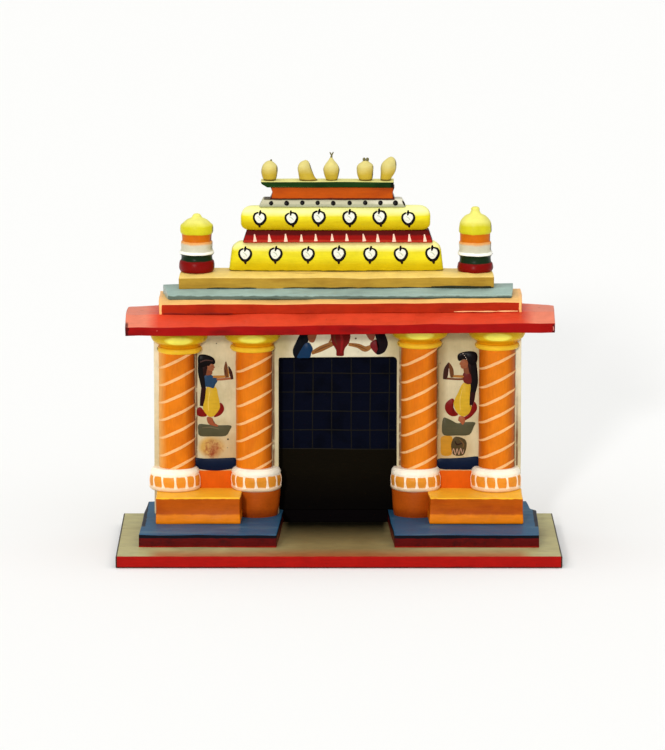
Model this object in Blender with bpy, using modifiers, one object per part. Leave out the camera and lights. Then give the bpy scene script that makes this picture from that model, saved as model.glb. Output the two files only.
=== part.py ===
"""Hand-painted toy model of a temple gateway: pillared porch front, stepped roof boards and five pots on top.

Lengths are in millimetres until scaled() turns a finished mesh into metres.
The front faces -Y, the base stands on Z = 0, and the origin is under the middle of the base.
"""

import math

import bmesh
import bpy

MM = 0.001
GAP = 0.3
ROUND_STEPS = 32

# Base plate and the low plinths beside the way in
BASE_THICKNESS = 5.2
BASE_FRONT, BASE_BACK = -48.5, 48.5
BASE_HALF_WIDTH = 100.0
BASE_BACK_HALF_WIDTH = 98.9
PLINTH_TOP = 11.0
PLINTH_FRONT, PLINTH_BACK = -29.0, 47.5
PLINTH_OUTER = 90.2
WAY_IN_LEFT, WAY_IN_RIGHT = -25.5, 22.4
WAY_IN_FLARE = 2.6

# Porch front: walls, doorway and the painted board that closes it at the back
WALL_FRONT, WALL_BACK = 19.0, 27.7
WALL_LEFT, WALL_RIGHT = -84.4, 83.2
DOOR_LEFT, DOOR_RIGHT = -27.5, 26.5
DOOR_HEAD = 83.6
BACK_BOARD_LEFT, BACK_BOARD_RIGHT = -81.0, 82.0
BACK_BOARD_THICKNESS = 4.4

# Benches in front of the walls, with a foot that spreads a little
BENCH_TOP = 23.1
BENCH_FRONT = -4.7
BENCH_FOOT_HEIGHT = 4.1
BENCH_FOOT_SPREAD = 0.7
BENCH_SPANS = {"left": (-83.1, -44.9), "right": (41.4, 83.6)}

# Half-round columns: middle of the base ring, of the shaft and of the capital, and height of the neck
COLUMNS = {
    "outer_left": (-75.0, -73.9, -72.7, 86.4),
    "inner_left": (-37.8, -38.7, -39.3, 87.2),
    "inner_right": (35.2, 36.6, 36.8, 89.0),
    "outer_right": (71.9, 72.2, 72.1, 88.2),
}
RING_RADIUS = 11.6
RING_HEIGHT = 9.9
SHAFT_RADIUS = 8.3
NECK_RADIUS = 9.5
CAPITAL_RADIUS = 13.2
DRUM_RADIUS = 10.9
DRUM_TAPER = 0.7

# Roof boards, each (height over X = 0, rise per millimetre to the right) of underside, front lip and flat top
EAVE_LEVELS = ((99.75, 0.0094), (103.7, 0.0118), (107.2, 0.0070))
ORANGE_LEVELS = ((107.5, 0.0070), (111.85, 0.0067), (113.1, 0.0060))
GREY_LEVELS = ((113.4, 0.0060), (115.1, 0.0028), (116.8, 0.0030))
YELLOW_LEVELS = ((117.1, 0.0030), (121.85, 0.0015), (122.9, 0.0))
EAVE_FRONT, ORANGE_FRONT, GREY_FRONT, YELLOW_FRONT = -11.4, -0.7, 3.8, 11.0
YELLOW_SLOPE_RUN = 6.0
ORANGE_BACK, GREY_BACK, YELLOW_BACK = 29.5, 23.8, 32.5

# Tiers of the crown, front and back faces of the tower body
TOWER_FRONT, TOWER_BACK = 22.0, 32.2
BARREL_LOWER_SPAN, BARREL_LOWER_TOP = (-49.9, 47.7), 136.4
NECK_TOP = 141.4
BARREL_UPPER_SPAN, BARREL_UPPER_TOP = (-44.5, 41.6), 152.4
DOTTED_SPAN, DOTTED_TOP = (-36.3, 30.5), 155.8
ORANGE_BLOCK_SPAN, ORANGE_BLOCK_TOP = (-31.5, 25.5), 161.5
GREEN_SLAB_SPAN, GREEN_SLAB_TOP = (-35.4, 25.0), 164.1

TURRET_Y = 23.5
TURRET_RADIUS = 8.1
TURRETS = {"left": (-64.7, 147.0, 149.5), "right": (62.1, 147.9, 152.7)}

# Pots on the ridge: middle, belly radius, height and lean to the right in degrees; the middle one has a twig
POT_Y = 27.2
POTS = (
    (-31.5, 3.7, 9.3, 0.0),
    (-15.2, 3.8, 9.4, 2.0),
    (-3.4, 3.6, 11.3, 0.0),
    (12.0, 3.7, 9.3, 0.0),
    (22.3, 3.7, 11.0, 4.0),
)
TWIG_POT = 2
TWIG_HEIGHT = 1.9
TWIG_RADIUS = 0.45

COLOURS = {
    "base_olive": (0.50, 0.47, 0.32),
    "plinth_blue": (0.12, 0.17, 0.32),
    "bench_orange": (0.86, 0.33, 0.02),
    "wall_cream": (0.69, 0.62, 0.42),
    "door_dark": (0.02, 0.02, 0.04),
    "ring_white": (0.87, 0.72, 0.50),
    "shaft_orange": (0.86, 0.24, 0.02),
    "capital_yellow": (0.83, 0.62, 0.02),
    "eave_red": (0.55, 0.02, 0.01),
    "cornice_orange": (0.80, 0.30, 0.09),
    "cornice_grey": (0.33, 0.38, 0.33),
    "slab_yellow": (0.85, 0.66, 0.21),
    "barrel_yellow": (0.87, 0.75, 0.06),
    "neck_red": (0.48, 0.03, 0.03),
    "course_white": (0.75, 0.75, 0.62),
    "slab_green": (0.05, 0.17, 0.06),
    "turret_yellow": (0.87, 0.62, 0.08),
    "pot_cream": (0.85, 0.74, 0.38),
}


def clear_scene():
    """Start from nothing."""
    for thing in list(bpy.data.objects):
        bpy.data.objects.remove(thing, do_unlink=True)


def new_collection(name):
    """A collection linked to the scene."""
    group = bpy.data.collections.new(name)
    bpy.context.scene.collection.children.link(group)
    return group


def paint(name):
    """Gloss enamel of one of the colours above."""
    known = bpy.data.materials.get(name)
    if known:
        return known
    made = bpy.data.materials.new(name)
    made.use_nodes = True
    shader = made.node_tree.nodes["Principled BSDF"]
    shader.inputs["Base Color"].default_value = (*COLOURS[name], 1.0)
    shader.inputs["Roughness"].default_value = 0.38
    shader.inputs["Metallic"].default_value = 0.0
    return made


def placed(name, data, colour, location=(0.0, 0.0, 0.0)):
    """Put a finished mesh or curve in the model at a place given in millimetres."""
    thing = bpy.data.objects.new(name, data)
    data.materials.append(paint(colour))
    thing.location = [value * MM for value in location]
    MODEL.objects.link(thing)
    return thing


def scaled(mesh_builder, name):
    """Turn a mesh built in millimetres into one in metres."""
    bmesh.ops.scale(mesh_builder, vec=(MM, MM, MM), verts=mesh_builder.verts)
    bmesh.ops.recalc_face_normals(mesh_builder, faces=mesh_builder.faces)
    mesh = bpy.data.meshes.new(name)
    mesh_builder.to_mesh(mesh)
    mesh_builder.free()
    return mesh


def flat_board(name, outline, low, high, colour):
    """A board sawn to an outline in plan, from one height to another."""
    curve = bpy.data.curves.new(name, "CURVE")
    curve.dimensions = "2D"
    curve.fill_mode = "BOTH"
    curve.extrude = (high - low) / 2 * MM
    spline = curve.splines.new("POLY")
    spline.points.add(len(outline) - 1)
    for point, (across, along) in zip(spline.points, outline):
        point.co = (across * MM, along * MM, 0.0, 1.0)
    spline.use_cyclic_u = True
    return placed(name, curve, colour, (0.0, 0.0, (low + high) / 2))


def upright_board(name, outline, front, back, colour):
    """A block whose outline is seen from the front, given as X and Z."""
    board = flat_board(name, outline, front, back, colour)
    board.location = (0.0, (front + back) / 2 * MM, 0.0)
    board.rotation_euler = (math.radians(90), 0.0, 0.0)
    return board


def box(name, span_x, span_y, span_z, colour, top_of=None, top_inset=0.0):
    """A box whose top may follow a slope over X or draw in at both ends."""
    builder = bmesh.new()
    bmesh.ops.create_cube(builder, size=1.0)
    for vert in builder.verts:
        side = vert.co.x
        high = vert.co.z > 0
        vert.co.x = span_x[1] if side > 0 else span_x[0]
        vert.co.y = span_y[1] if vert.co.y > 0 else span_y[0]
        vert.co.z = span_z[1] if high else span_z[0]
        if high and top_of:
            vert.co.z = top_of(vert.co.x)
        if high:
            vert.co.x -= math.copysign(top_inset, side)
    return placed(name, scaled(builder, name), colour)


def layered(name, layers, colour):
    """A solid through outlines of equal length, one above the other; each layer is a list of 3D points."""
    builder = bmesh.new()
    rings = [[builder.verts.new(point) for point in layer] for layer in layers]
    for lower, upper in zip(rings, rings[1:]):
        for index in range(len(lower)):
            after = (index + 1) % len(lower)
            builder.faces.new((lower[index], lower[after], upper[after], upper[index]))
    builder.faces.new(rings[0][::-1])
    builder.faces.new(rings[-1])
    return placed(name, scaled(builder, name), colour)


def turned(name, profile, axis, colour):
    """A turned piece about an upright axis; its profile of radius and height runs from top to bottom."""
    builder = bmesh.new()
    verts = [builder.verts.new((radius, 0.0, height)) for radius, height in profile]
    for upper, lower in zip(verts, verts[1:]):
        builder.edges.new((upper, lower))
    bmesh.ops.scale(builder, vec=(MM, MM, MM), verts=builder.verts)
    mesh = bpy.data.meshes.new(name)
    builder.to_mesh(mesh)
    builder.free()
    piece = placed(name, mesh, colour, (*axis, 0.0))
    screw = piece.modifiers.new("turn", "SCREW")
    screw.steps = ROUND_STEPS
    screw.render_steps = ROUND_STEPS
    screw.use_merge_vertices = True
    screw.merge_threshold = 0.00001
    return piece


def cutter(name, span_x, span_y, span_z):
    """A hidden box that Boolean modifiers cut with."""
    tool = box(name, span_x, span_y, span_z, "door_dark")
    MODEL.objects.unlink(tool)
    CUTTERS.objects.link(tool)
    tool.hide_render = True
    tool.display_type = "WIRE"
    return tool


def cut_by(piece, tool):
    """Take a cutter's space out of a piece."""
    cut = piece.modifiers.new("cut", "BOOLEAN")
    cut.operation = "DIFFERENCE"
    cut.solver = "EXACT"
    cut.object = tool


def rounded(piece, width, segments):
    """Round a box's edges by their bevel weight and shade it smooth."""
    piece.data.shade_smooth()
    bevel = piece.modifiers.new("round", "BEVEL")
    bevel.width = width * MM
    bevel.segments = segments
    bevel.limit_method = "WEIGHT"


def weigh_edges(piece, foot_weight):
    """Full rounding on the sides and top of a box, less along its foot."""
    mesh = piece.data
    weights = mesh.attributes.new("bevel_weight_edge", "FLOAT", "EDGE")
    low = min(vert.co.z for vert in mesh.vertices)
    for edge in mesh.edges:
        at_foot = all(mesh.vertices[index].co.z - low < MM * GAP for index in edge.vertices)
        weights.data[edge.index].value = foot_weight if at_foot else 1.0


def on_slope(level):
    """Height over X of one side of a roof board, as a function."""
    height, rise = level
    return lambda x: height + rise * x


def roof_board(name, outline, flat_outline, levels, colour):
    """A roof board with an upright lip, a sloping front and a flat top."""
    layers = []
    for plan, level in zip((outline, outline, flat_outline), levels):
        height = on_slope(level)
        layers.append([(x, y, height(x)) for x, y in plan])
    return layered(name, layers, colour)


def make_base():
    """Base plate, the two plinths and the strip behind the doorway that joins them."""
    outline = [
        (-BASE_HALF_WIDTH, BASE_FRONT),
        (BASE_HALF_WIDTH, BASE_FRONT),
        (BASE_BACK_HALF_WIDTH, BASE_BACK),
        (-BASE_HALF_WIDTH + 0.4, BASE_BACK),
    ]
    flat_board("base_plate", outline, 0.0, BASE_THICKNESS, "base_olive")
    low, high = BASE_THICKNESS + GAP, PLINTH_TOP
    left = [
        (-PLINTH_OUTER, PLINTH_FRONT + 0.7),
        (WAY_IN_LEFT - WAY_IN_FLARE, PLINTH_FRONT),
        (WAY_IN_LEFT, WALL_BACK),
        (WAY_IN_LEFT, PLINTH_BACK),
        (-PLINTH_OUTER + 2.2, PLINTH_BACK),
        (-PLINTH_OUTER + 0.8, 15.7),
    ]
    flat_board("plinth_left", left, low, high, "plinth_blue")
    right = [
        (WAY_IN_RIGHT + WAY_IN_FLARE, PLINTH_FRONT),
        (PLINTH_OUTER, PLINTH_FRONT),
        (PLINTH_OUTER + 0.6, 4.4),
        (PLINTH_OUTER + 0.6, 27.0),
        (PLINTH_OUTER - 2.2, 31.0),
        (PLINTH_OUTER - 3.4, PLINTH_BACK),
        (WAY_IN_RIGHT, PLINTH_BACK),
        (WAY_IN_RIGHT, WALL_BACK),
    ]
    flat_board("plinth_right", right, low, high, "plinth_blue")
    strip = (WAY_IN_LEFT + GAP, WAY_IN_RIGHT - GAP)
    box("plinth_rear", strip, (WALL_BACK + GAP, PLINTH_BACK), (low, high), "plinth_blue")


def make_walls():
    """Two walls, the lintel over the doorway and the board at the back."""
    low = PLINTH_TOP + GAP
    depth = (WALL_FRONT, WALL_BACK)
    under_eave = on_slope((EAVE_LEVELS[0][0] - GAP, EAVE_LEVELS[0][1]))
    under_orange = on_slope((ORANGE_LEVELS[0][0] - GAP, ORANGE_LEVELS[0][1]))
    box("wall_left", (WALL_LEFT, DOOR_LEFT), depth, (low, 0.0), "wall_cream", under_eave)
    box("wall_right", (DOOR_RIGHT, WALL_RIGHT), depth, (low, 0.0), "wall_cream", under_eave)
    over_door = (DOOR_LEFT + GAP, DOOR_RIGHT - GAP)
    box("lintel", over_door, depth, (DOOR_HEAD, 0.0), "wall_cream", under_eave)
    behind = (WALL_BACK + GAP, WALL_BACK + GAP + BACK_BOARD_THICKNESS)
    box("back_board", (BACK_BOARD_LEFT, BACK_BOARD_RIGHT), behind, (low, 0.0), "door_dark", under_orange)


def make_bench(side):
    """A block in front of one wall; its inner end runs out a little towards the back."""
    start, end = BENCH_SPANS[side]
    low, knee, back = PLINTH_TOP + GAP, PLINTH_TOP + GAP + BENCH_FOOT_HEIGHT, WALL_FRONT - GAP
    lean = 1.2
    inner_start = start - (lean if side == "right" else 0.0)
    inner_end = end + (lean if side == "left" else 0.0)
    layers = []
    for height, spread in ((low, BENCH_FOOT_SPREAD), (knee, 0.0), (BENCH_TOP, 0.0)):
        front = BENCH_FRONT - spread
        plan = [(start, front), (end, front), (inner_end, back), (inner_start, back)]
        layers.append([(x, y, height) for x, y in plan])
    layered(f"bench_{side}", layers, "bench_orange")


def make_drum(side, wall_cut):
    """Half-round foot of an inner column, sawn off where it meets the bench."""
    x = COLUMNS[f"inner_{side}"][0]
    profile = [
        (0.0, BENCH_TOP),
        (DRUM_RADIUS, BENCH_TOP),
        (DRUM_RADIUS - DRUM_TAPER, PLINTH_TOP + GAP),
        (0.0, PLINTH_TOP + GAP),
    ]
    drum = turned(f"drum_{side}", profile, (x, WALL_FRONT), "bench_orange")
    start, end = BENCH_SPANS[side]
    near = (start, end + 1.6) if side == "left" else (start - 1.6, end)
    bench_cut = cutter(f"bench_cut_{side}", near, (-10.0, WALL_FRONT + 1.0), (0.0, 40.0))
    cut_by(drum, wall_cut)
    cut_by(drum, bench_cut)


def ring_profile(low):
    """Cushion-shaped base ring: rim, striped band and white roll on top."""
    outer = RING_RADIUS
    return [
        (0.0, low + RING_HEIGHT),
        (outer - 1.9, low + RING_HEIGHT),
        (outer - 1.1, low + RING_HEIGHT - 0.8),
        (outer - 0.6, low + RING_HEIGHT - 2.4),
        (outer - 0.3, low + RING_HEIGHT - 3.1),
        (outer, low + RING_HEIGHT - 4.6),
        (outer - 0.2, low + 2.6),
        (outer - 0.7, low + 1.2),
        (outer - 0.8, low),
        (0.0, low),
    ]


def capital_profile(low, high):
    """Wide bowl under the eave, drawn in to a round neck moulding."""
    tall = high - low
    return [
        (0.0, high),
        (CAPITAL_RADIUS - 0.4, high),
        (CAPITAL_RADIUS, high - 0.25 * tall),
        (CAPITAL_RADIUS - 0.1, high - 0.50 * tall),
        (CAPITAL_RADIUS - 0.7, high - 0.66 * tall),
        (CAPITAL_RADIUS - 1.8, high - 0.78 * tall),
        (NECK_RADIUS + 0.6, high - 0.86 * tall),
        (NECK_RADIUS + 0.3, high - 0.90 * tall),
        (NECK_RADIUS, high - 0.96 * tall),
        (NECK_RADIUS - 0.6, low),
        (0.0, low),
    ]


def make_column(place, wall_cut):
    """One half-round column against the wall: base ring, shaft and capital."""
    ring_x, shaft_x, capital_x, neck = COLUMNS[place]
    ring_low = BENCH_TOP + GAP
    shaft_low = ring_low + RING_HEIGHT + GAP
    under_eave = on_slope(EAVE_LEVELS[0])(capital_x - CAPITAL_RADIUS) - GAP
    ring = turned(f"ring_{place}", ring_profile(ring_low), (ring_x, WALL_FRONT), "ring_white")
    shaft_high = neck - GAP
    rod = [(0.0, shaft_high), (SHAFT_RADIUS, shaft_high), (SHAFT_RADIUS, shaft_low), (0.0, shaft_low)]
    shaft = turned(f"shaft_{place}", rod, (shaft_x, WALL_FRONT), "shaft_orange")
    bowl = capital_profile(neck, under_eave)
    capital = turned(f"capital_{place}", bowl, (capital_x, WALL_FRONT), "capital_yellow")
    for piece in (ring, shaft, capital):
        cut_by(piece, wall_cut)


def make_roof_boards():
    """Red eave, orange and grey cornices and the yellow slab that carries the crown."""
    eave = [(-96.2, EAVE_FRONT), (97.3, EAVE_FRONT), (97.5, 17.0), (95.4, 19.0), (72.0, WALL_BACK)]
    eave += [(-72.0, WALL_BACK), (-95.2, 24.2), (-96.2, 22.8)]
    eave_top = [(-96.2, ORANGE_FRONT), (97.3, ORANGE_FRONT)] + eave[2:]
    roof_board("eave_board", eave, eave_top, EAVE_LEVELS, "eave_red")
    orange = [(-81.6, ORANGE_FRONT), (82.8, ORANGE_FRONT), (83.0, ORANGE_BACK), (-81.6, ORANGE_BACK)]
    orange_top = [(-81.6, GREY_FRONT), (82.8, GREY_FRONT)] + orange[2:]
    roof_board("cornice_orange", orange, orange_top, ORANGE_LEVELS, "cornice_orange")
    grey = [(-77.4, GREY_FRONT), (78.4, GREY_FRONT), (79.6, GREY_BACK), (-80.0, GREY_BACK)]
    grey_top = [(-78.4, YELLOW_FRONT), (78.8, YELLOW_FRONT)] + grey[2:]
    roof_board("cornice_grey", grey, grey_top, GREY_LEVELS, "cornice_grey")
    ridge = YELLOW_FRONT + YELLOW_SLOPE_RUN
    yellow = [(-72.6, YELLOW_FRONT), (70.4, YELLOW_FRONT), (70.0, YELLOW_BACK), (-72.0, YELLOW_BACK)]
    yellow_top = [(-72.4, ridge), (70.3, ridge), (70.0, YELLOW_BACK), (-72.0, YELLOW_BACK)]
    roof_board("roof_slab", yellow, yellow_top, YELLOW_LEVELS, "slab_yellow")


def make_turret(side):
    """Turned corner turret: red foot, green waist, white skirt, orange drum, yellow dome and knob."""
    x, dome_top, tip = TURRETS[side]
    low = YELLOW_LEVELS[2][0] + GAP
    outer = TURRET_RADIUS
    profile = [
        (0.0, tip),
        (1.6, tip - 0.5),
        (2.1, tip - 1.6),
        (1.9, dome_top - 0.4),
        (4.0, dome_top - 1.4),
        (6.3, dome_top - 3.4),
        (outer - 0.9, dome_top - 5.6),
        (outer - 1.4, dome_top - 7.6),
        (outer - 1.5, low + 13.0),
        (outer - 1.3, low + 12.4),
        (outer, low + 8.6),
        (outer - 0.2, low + 7.9),
        (outer - 1.2, low + 6.2),
        (outer - 0.9, low + 5.0),
        (outer, low + 3.6),
        (outer, low + 1.2),
        (outer - 0.6, low),
        (0.0, low),
    ]
    turned(f"turret_{side}", profile, (x, TURRET_Y), "turret_yellow")


def make_crown():
    """Two yellow barrels with the red neck between, white course, orange block and green slab."""
    body = (TOWER_FRONT, TOWER_BACK)
    inner_body = (TOWER_FRONT + 1.2, TOWER_BACK - 1.2)
    lower_z = (YELLOW_LEVELS[2][0] + GAP, BARREL_LOWER_TOP)
    lower = box("barrel_lower", BARREL_LOWER_SPAN, body, lower_z, "barrel_yellow", top_inset=1.6)
    weigh_edges(lower, foot_weight=0.3)
    rounded(lower, 4.2, 4)
    neck_span = (BARREL_LOWER_SPAN[0] + 6.3, BARREL_LOWER_SPAN[1] - 4.9)
    box("neck_red", neck_span, inner_body, (BARREL_LOWER_TOP + GAP, NECK_TOP), "neck_red", top_inset=1.8)
    upper_z = (NECK_TOP + GAP, BARREL_UPPER_TOP)
    upper = box("barrel_upper", BARREL_UPPER_SPAN, body, upper_z, "barrel_yellow")
    weigh_edges(upper, foot_weight=1.0)
    rounded(upper, 4.4, 4)
    course_z = (BARREL_UPPER_TOP + GAP, DOTTED_TOP)
    box("dotted_course", DOTTED_SPAN, inner_body, course_z, "course_white", top_inset=1.9)
    start, end = ORANGE_BLOCK_SPAN
    low, high = DOTTED_TOP + GAP, ORANGE_BLOCK_TOP
    middle = (low + high) / 2
    block = [(start, low), (end, low), (end - 1.0, middle), (end - 0.1, high)]
    block += [(start + 0.3, high), (start + 1.2, middle)]
    upright_board("top_block", block, *inner_body, "cornice_orange")
    start, end = GREEN_SLAB_SPAN
    low, high = ORANGE_BLOCK_TOP + GAP, GREEN_SLAB_TOP
    slab = [(start + 2.8, low), (end - 0.3, low), (end, high), (start, high), (start + 0.2, high - 0.9)]
    upright_board("top_slab", slab, *body, "slab_green")


def make_pot(index, middle, radius, height, lean):
    """A hand-shaped pot on the ridge, leaning about its foot."""
    foot = 0.76 * radius
    profile = [
        (0.0, height),
        (0.30 * radius, 0.96 * height),
        (0.68 * radius, 0.82 * height),
        (0.94 * radius, 0.63 * height),
        (radius, 0.45 * height),
        (0.90 * radius, 0.24 * height),
        (0.72 * radius, 0.10 * height),
        (foot, 0.0),
        (0.0, 0.0),
    ]
    if index == TWIG_POT:
        tip = height + TWIG_HEIGHT
        profile[0:1] = [(0.0, tip), (TWIG_RADIUS, tip - 0.2), (TWIG_RADIUS, height - 0.1)]
    pot = turned(f"pot_{index + 1}", profile, (middle, POT_Y), "pot_cream")
    lift = foot * math.sin(math.radians(lean))
    pot.location.z = (GREEN_SLAB_TOP + GAP + lift) * MM
    pot.rotation_euler.y = math.radians(lean)


def main():
    make_base()
    make_walls()
    wall_cut = cutter("wall_cut", (-120.0, 120.0), (WALL_FRONT - GAP, 60.0), (0.0, 200.0))
    for side in BENCH_SPANS:
        make_bench(side)
        make_drum(side, wall_cut)
    for place in COLUMNS:
        make_column(place, wall_cut)
    make_roof_boards()
    for side in TURRETS:
        make_turret(side)
    make_crown()
    for index, pot in enumerate(POTS):
        make_pot(index, *pot)


clear_scene()
MODEL = new_collection("gopuram")
CUTTERS = new_collection("cutters")
main()
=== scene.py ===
"""Looks of a hand-painted toy temple gateway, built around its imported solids.

Lengths are in millimetres until a mesh is finished. The front faces -Y, and X runs to the right.
"""

import math
import random

import bmesh
import bpy
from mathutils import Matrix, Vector, noise


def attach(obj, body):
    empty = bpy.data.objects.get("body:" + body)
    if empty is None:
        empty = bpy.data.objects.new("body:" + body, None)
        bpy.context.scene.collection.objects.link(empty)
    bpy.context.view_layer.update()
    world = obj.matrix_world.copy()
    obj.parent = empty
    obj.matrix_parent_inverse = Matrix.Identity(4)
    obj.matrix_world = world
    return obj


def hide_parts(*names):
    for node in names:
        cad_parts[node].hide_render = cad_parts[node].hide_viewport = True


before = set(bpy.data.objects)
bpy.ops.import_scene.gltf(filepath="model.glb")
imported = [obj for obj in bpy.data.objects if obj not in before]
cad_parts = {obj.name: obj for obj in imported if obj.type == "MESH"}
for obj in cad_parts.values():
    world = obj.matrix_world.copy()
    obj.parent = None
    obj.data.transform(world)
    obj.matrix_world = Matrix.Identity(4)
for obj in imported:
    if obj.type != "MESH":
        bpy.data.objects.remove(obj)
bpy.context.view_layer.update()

noise.seed_set(1)  # so that the hand wavers in the same way at each run

MM = 0.001
ROOT = "root"
INK = "paint"

# Camera that took the photograph: place in metres, tilt below the horizon and lens for a 36 mm high frame
CAMERA_PLACE = (-0.0029, -2.6739, 0.5631)
CAMERA_DOWN = 10.262
CAMERA_LENS = 287.87
FRAME_HEIGHT = 36.0

# Heights, depths and reaches that several pieces share
BASE_DEPTH = 48.5
BASE_TOP = 5.2
PLINTH_TOP = 11.0
BENCH_TOP = 23.1
RING_TOP = 33.3
WALL_FRONT, WALL_BACK = 19.0, 27.7
WALL_SPAN = (-84.4, 83.2)
DOOR_SPAN = (-27.5, 26.5)
DOOR_HEAD = 83.6
PANEL_SPAN = (-81.0, 82.0)
PANEL_BACK = 32.4
RIDGE = 122.9
TOWER_FRONT, TOWER_BACK = 22.0, 32.2
TURRET_Y = 23.5
SLAB_TOP = 164.1
POT_Y = 27.2

# Slopes, each a height over the middle and its rise along X: underside, front edge and top of each roof board
EAVE_UNDER = (99.75, 0.0094)
EAVE_LEVELS = (EAVE_UNDER, (103.7, 0.0118), (107.3, 0.0070))
ORANGE_LEVELS = ((107.2, 0.0070), (111.85, 0.0067), (113.2, 0.0060))
GREY_LEVELS = ((113.2, 0.0060), (115.1, 0.0028), (116.9, 0.0030))
SLAB_LEVELS = ((116.9, 0.0030), (121.85, 0.0015), (RIDGE, 0.0))
PANEL_TOP = (107.45, 0.0070)

# Columns: middle of base ring, shaft and capital, and height of the neck moulding
COLUMNS = {
    "outer_left": (-75.0, -73.9, -72.7, 86.4),
    "inner_left": (-37.8, -38.7, -39.3, 87.2),
    "inner_right": (35.2, 36.6, 36.8, 89.0),
    "outer_right": (71.9, 72.2, 72.1, 88.2),
}
RING_RADIUS = 11.6
SHAFT_RADIUS = 8.3
CAPITAL_RADIUS = 13.2
DRUM_RADIUS = 10.9

# Pots: middle, then height over the green slab with the reach to the left and to the right
POTS = (
    (-31.5, (
        (0.0, -2.6, 2.6), (1.0, -3.2, 3.1), (3.0, -3.7, 3.6), (5.0, -3.8, 3.7), (7.0, -3.2, 3.1),
        (8.3, -1.9, 1.8), (8.9, -0.7, 0.9))),
    (-15.2, (
        (0.0, -2.8, 5.8), (0.5, -2.9, 5.4), (2.0, -3.2, 4.2), (4.0, -3.5, 3.2), (5.6, -3.6, 2.7),
        (7.2, -3.1, 2.2), (8.5, -2.0, 1.5), (9.2, -0.8, 0.8))),
    (-3.4, (
        (0.0, -2.3, 2.5), (1.5, -3.0, 3.1), (4.0, -3.5, 3.6), (5.5, -3.6, 3.5), (7.5, -2.7, 2.6),
        (9.3, -1.3, 1.3), (10.6, -0.5, 0.5))),
    (12.0, (
        (0.0, -2.7, 3.0), (1.5, -3.3, 3.4), (4.0, -3.7, 3.7), (6.2, -3.8, 3.9), (7.4, -3.2, 3.4),
        (8.2, -1.9, 2.2), (8.9, -1.0, 1.4))),
    (22.3, (
        (0.0, -3.3, 1.5), (1.5, -3.5, 1.9), (4.0, -3.4, 3.2), (6.0, -3.2, 3.9), (8.0, -2.6, 4.0),
        (9.6, -1.2, 3.3), (10.7, 0.4, 2.2))),
)

# Workmanship
SHARP_EDGE = 0.35  # radians; edges that turn more are rounded
TURN_STEPS = 72
HALF_TURN = math.radians(181.6)  # a touch over half a turn, so that the back sinks into the wall
SUNK = 0.2  # how far the middle of a half-round piece lies behind the front of the wall
FOOT = -0.1  # paint is rooted this far under the surface
RAY_START = 0.2  # metres from a carrier, where a mark sets out to meet it
BRUSH_RELIEF = 0.0006  # metres
ALONG = (0.3, 1.0, 1.0)  # draws worn patches out along the boards


# Colour and node helpers


def shade(red, green, blue):
    """A paint colour as it looks on screen, 0 to 255, turned into linear light."""
    linear = []
    for value in (red, green, blue):
        value /= 255
        linear.append(value / 12.92 if value <= 0.04045 else ((value + 0.055) / 1.055) ** 2.4)
    return (*linear, 1.0)


def feed(tree, socket, value):
    """Links a socket to another, or sets it to a plain value."""
    if isinstance(value, bpy.types.NodeSocket):
        tree.links.new(value, socket)
    elif value is not None:
        socket.default_value = value


def add(tree, kind, inputs=None, **settings):
    """A new node with its settings and inputs."""
    node = tree.nodes.new(kind)
    for key, value in settings.items():
        setattr(node, key, value)
    for key, value in (inputs or {}).items():
        feed(tree, node.inputs[key], value)
    return node


def sum_up(tree, operation, *values, clamp=False):
    """The result of one Math node."""
    node = add(tree, "ShaderNodeMath", operation=operation, use_clamp=clamp)
    for socket, value in zip(node.inputs, values):
        feed(tree, socket, value)
    return node.outputs[0]


def vectors(tree, operation, first, second):
    """The result of one Vector Math node."""
    inputs = {0: first, ("Scale" if operation == "SCALE" else 1): second}
    return add(tree, "ShaderNodeVectorMath", inputs, operation=operation).outputs[0]


def mixed(tree, below, above, mask):
    """One colour over another, through a mask."""
    inputs = {"Factor": mask, 6: below, 7: above}
    return add(tree, "ShaderNodeMix", inputs, data_type="RGBA").outputs[2]


def new_group(name, takes, gives):
    """A shader node group with named inputs and outputs."""
    tree = bpy.data.node_groups.new(name, "ShaderNodeTree")
    for label, kind, value in takes:
        tree.interface.new_socket(name=label, in_out="INPUT", socket_type=kind).default_value = value
    for label, kind in gives:
        tree.interface.new_socket(name=label, in_out="OUTPUT", socket_type=kind)
    return tree, tree.nodes.new("NodeGroupInput").outputs, tree.nodes.new("NodeGroupOutput").inputs


def millimetres(tree):
    """Object coordinates in millimetres."""
    return vectors(tree, "SCALE", add(tree, "ShaderNodeTexCoord").outputs["Object"], 1 / MM)


def clouds(tree, place, scale, detail, stretch=None):
    """Noise between 0 and 1 over a place; the scale is in waves to the millimetre."""
    if stretch is not None:
        place = vectors(tree, "MULTIPLY", place, stretch)
    inputs = {"Vector": place, "Scale": scale, "Detail": detail, "Roughness": 0.55}
    return add(tree, "ShaderNodeTexNoise", inputs).outputs["Fac"]


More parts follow.
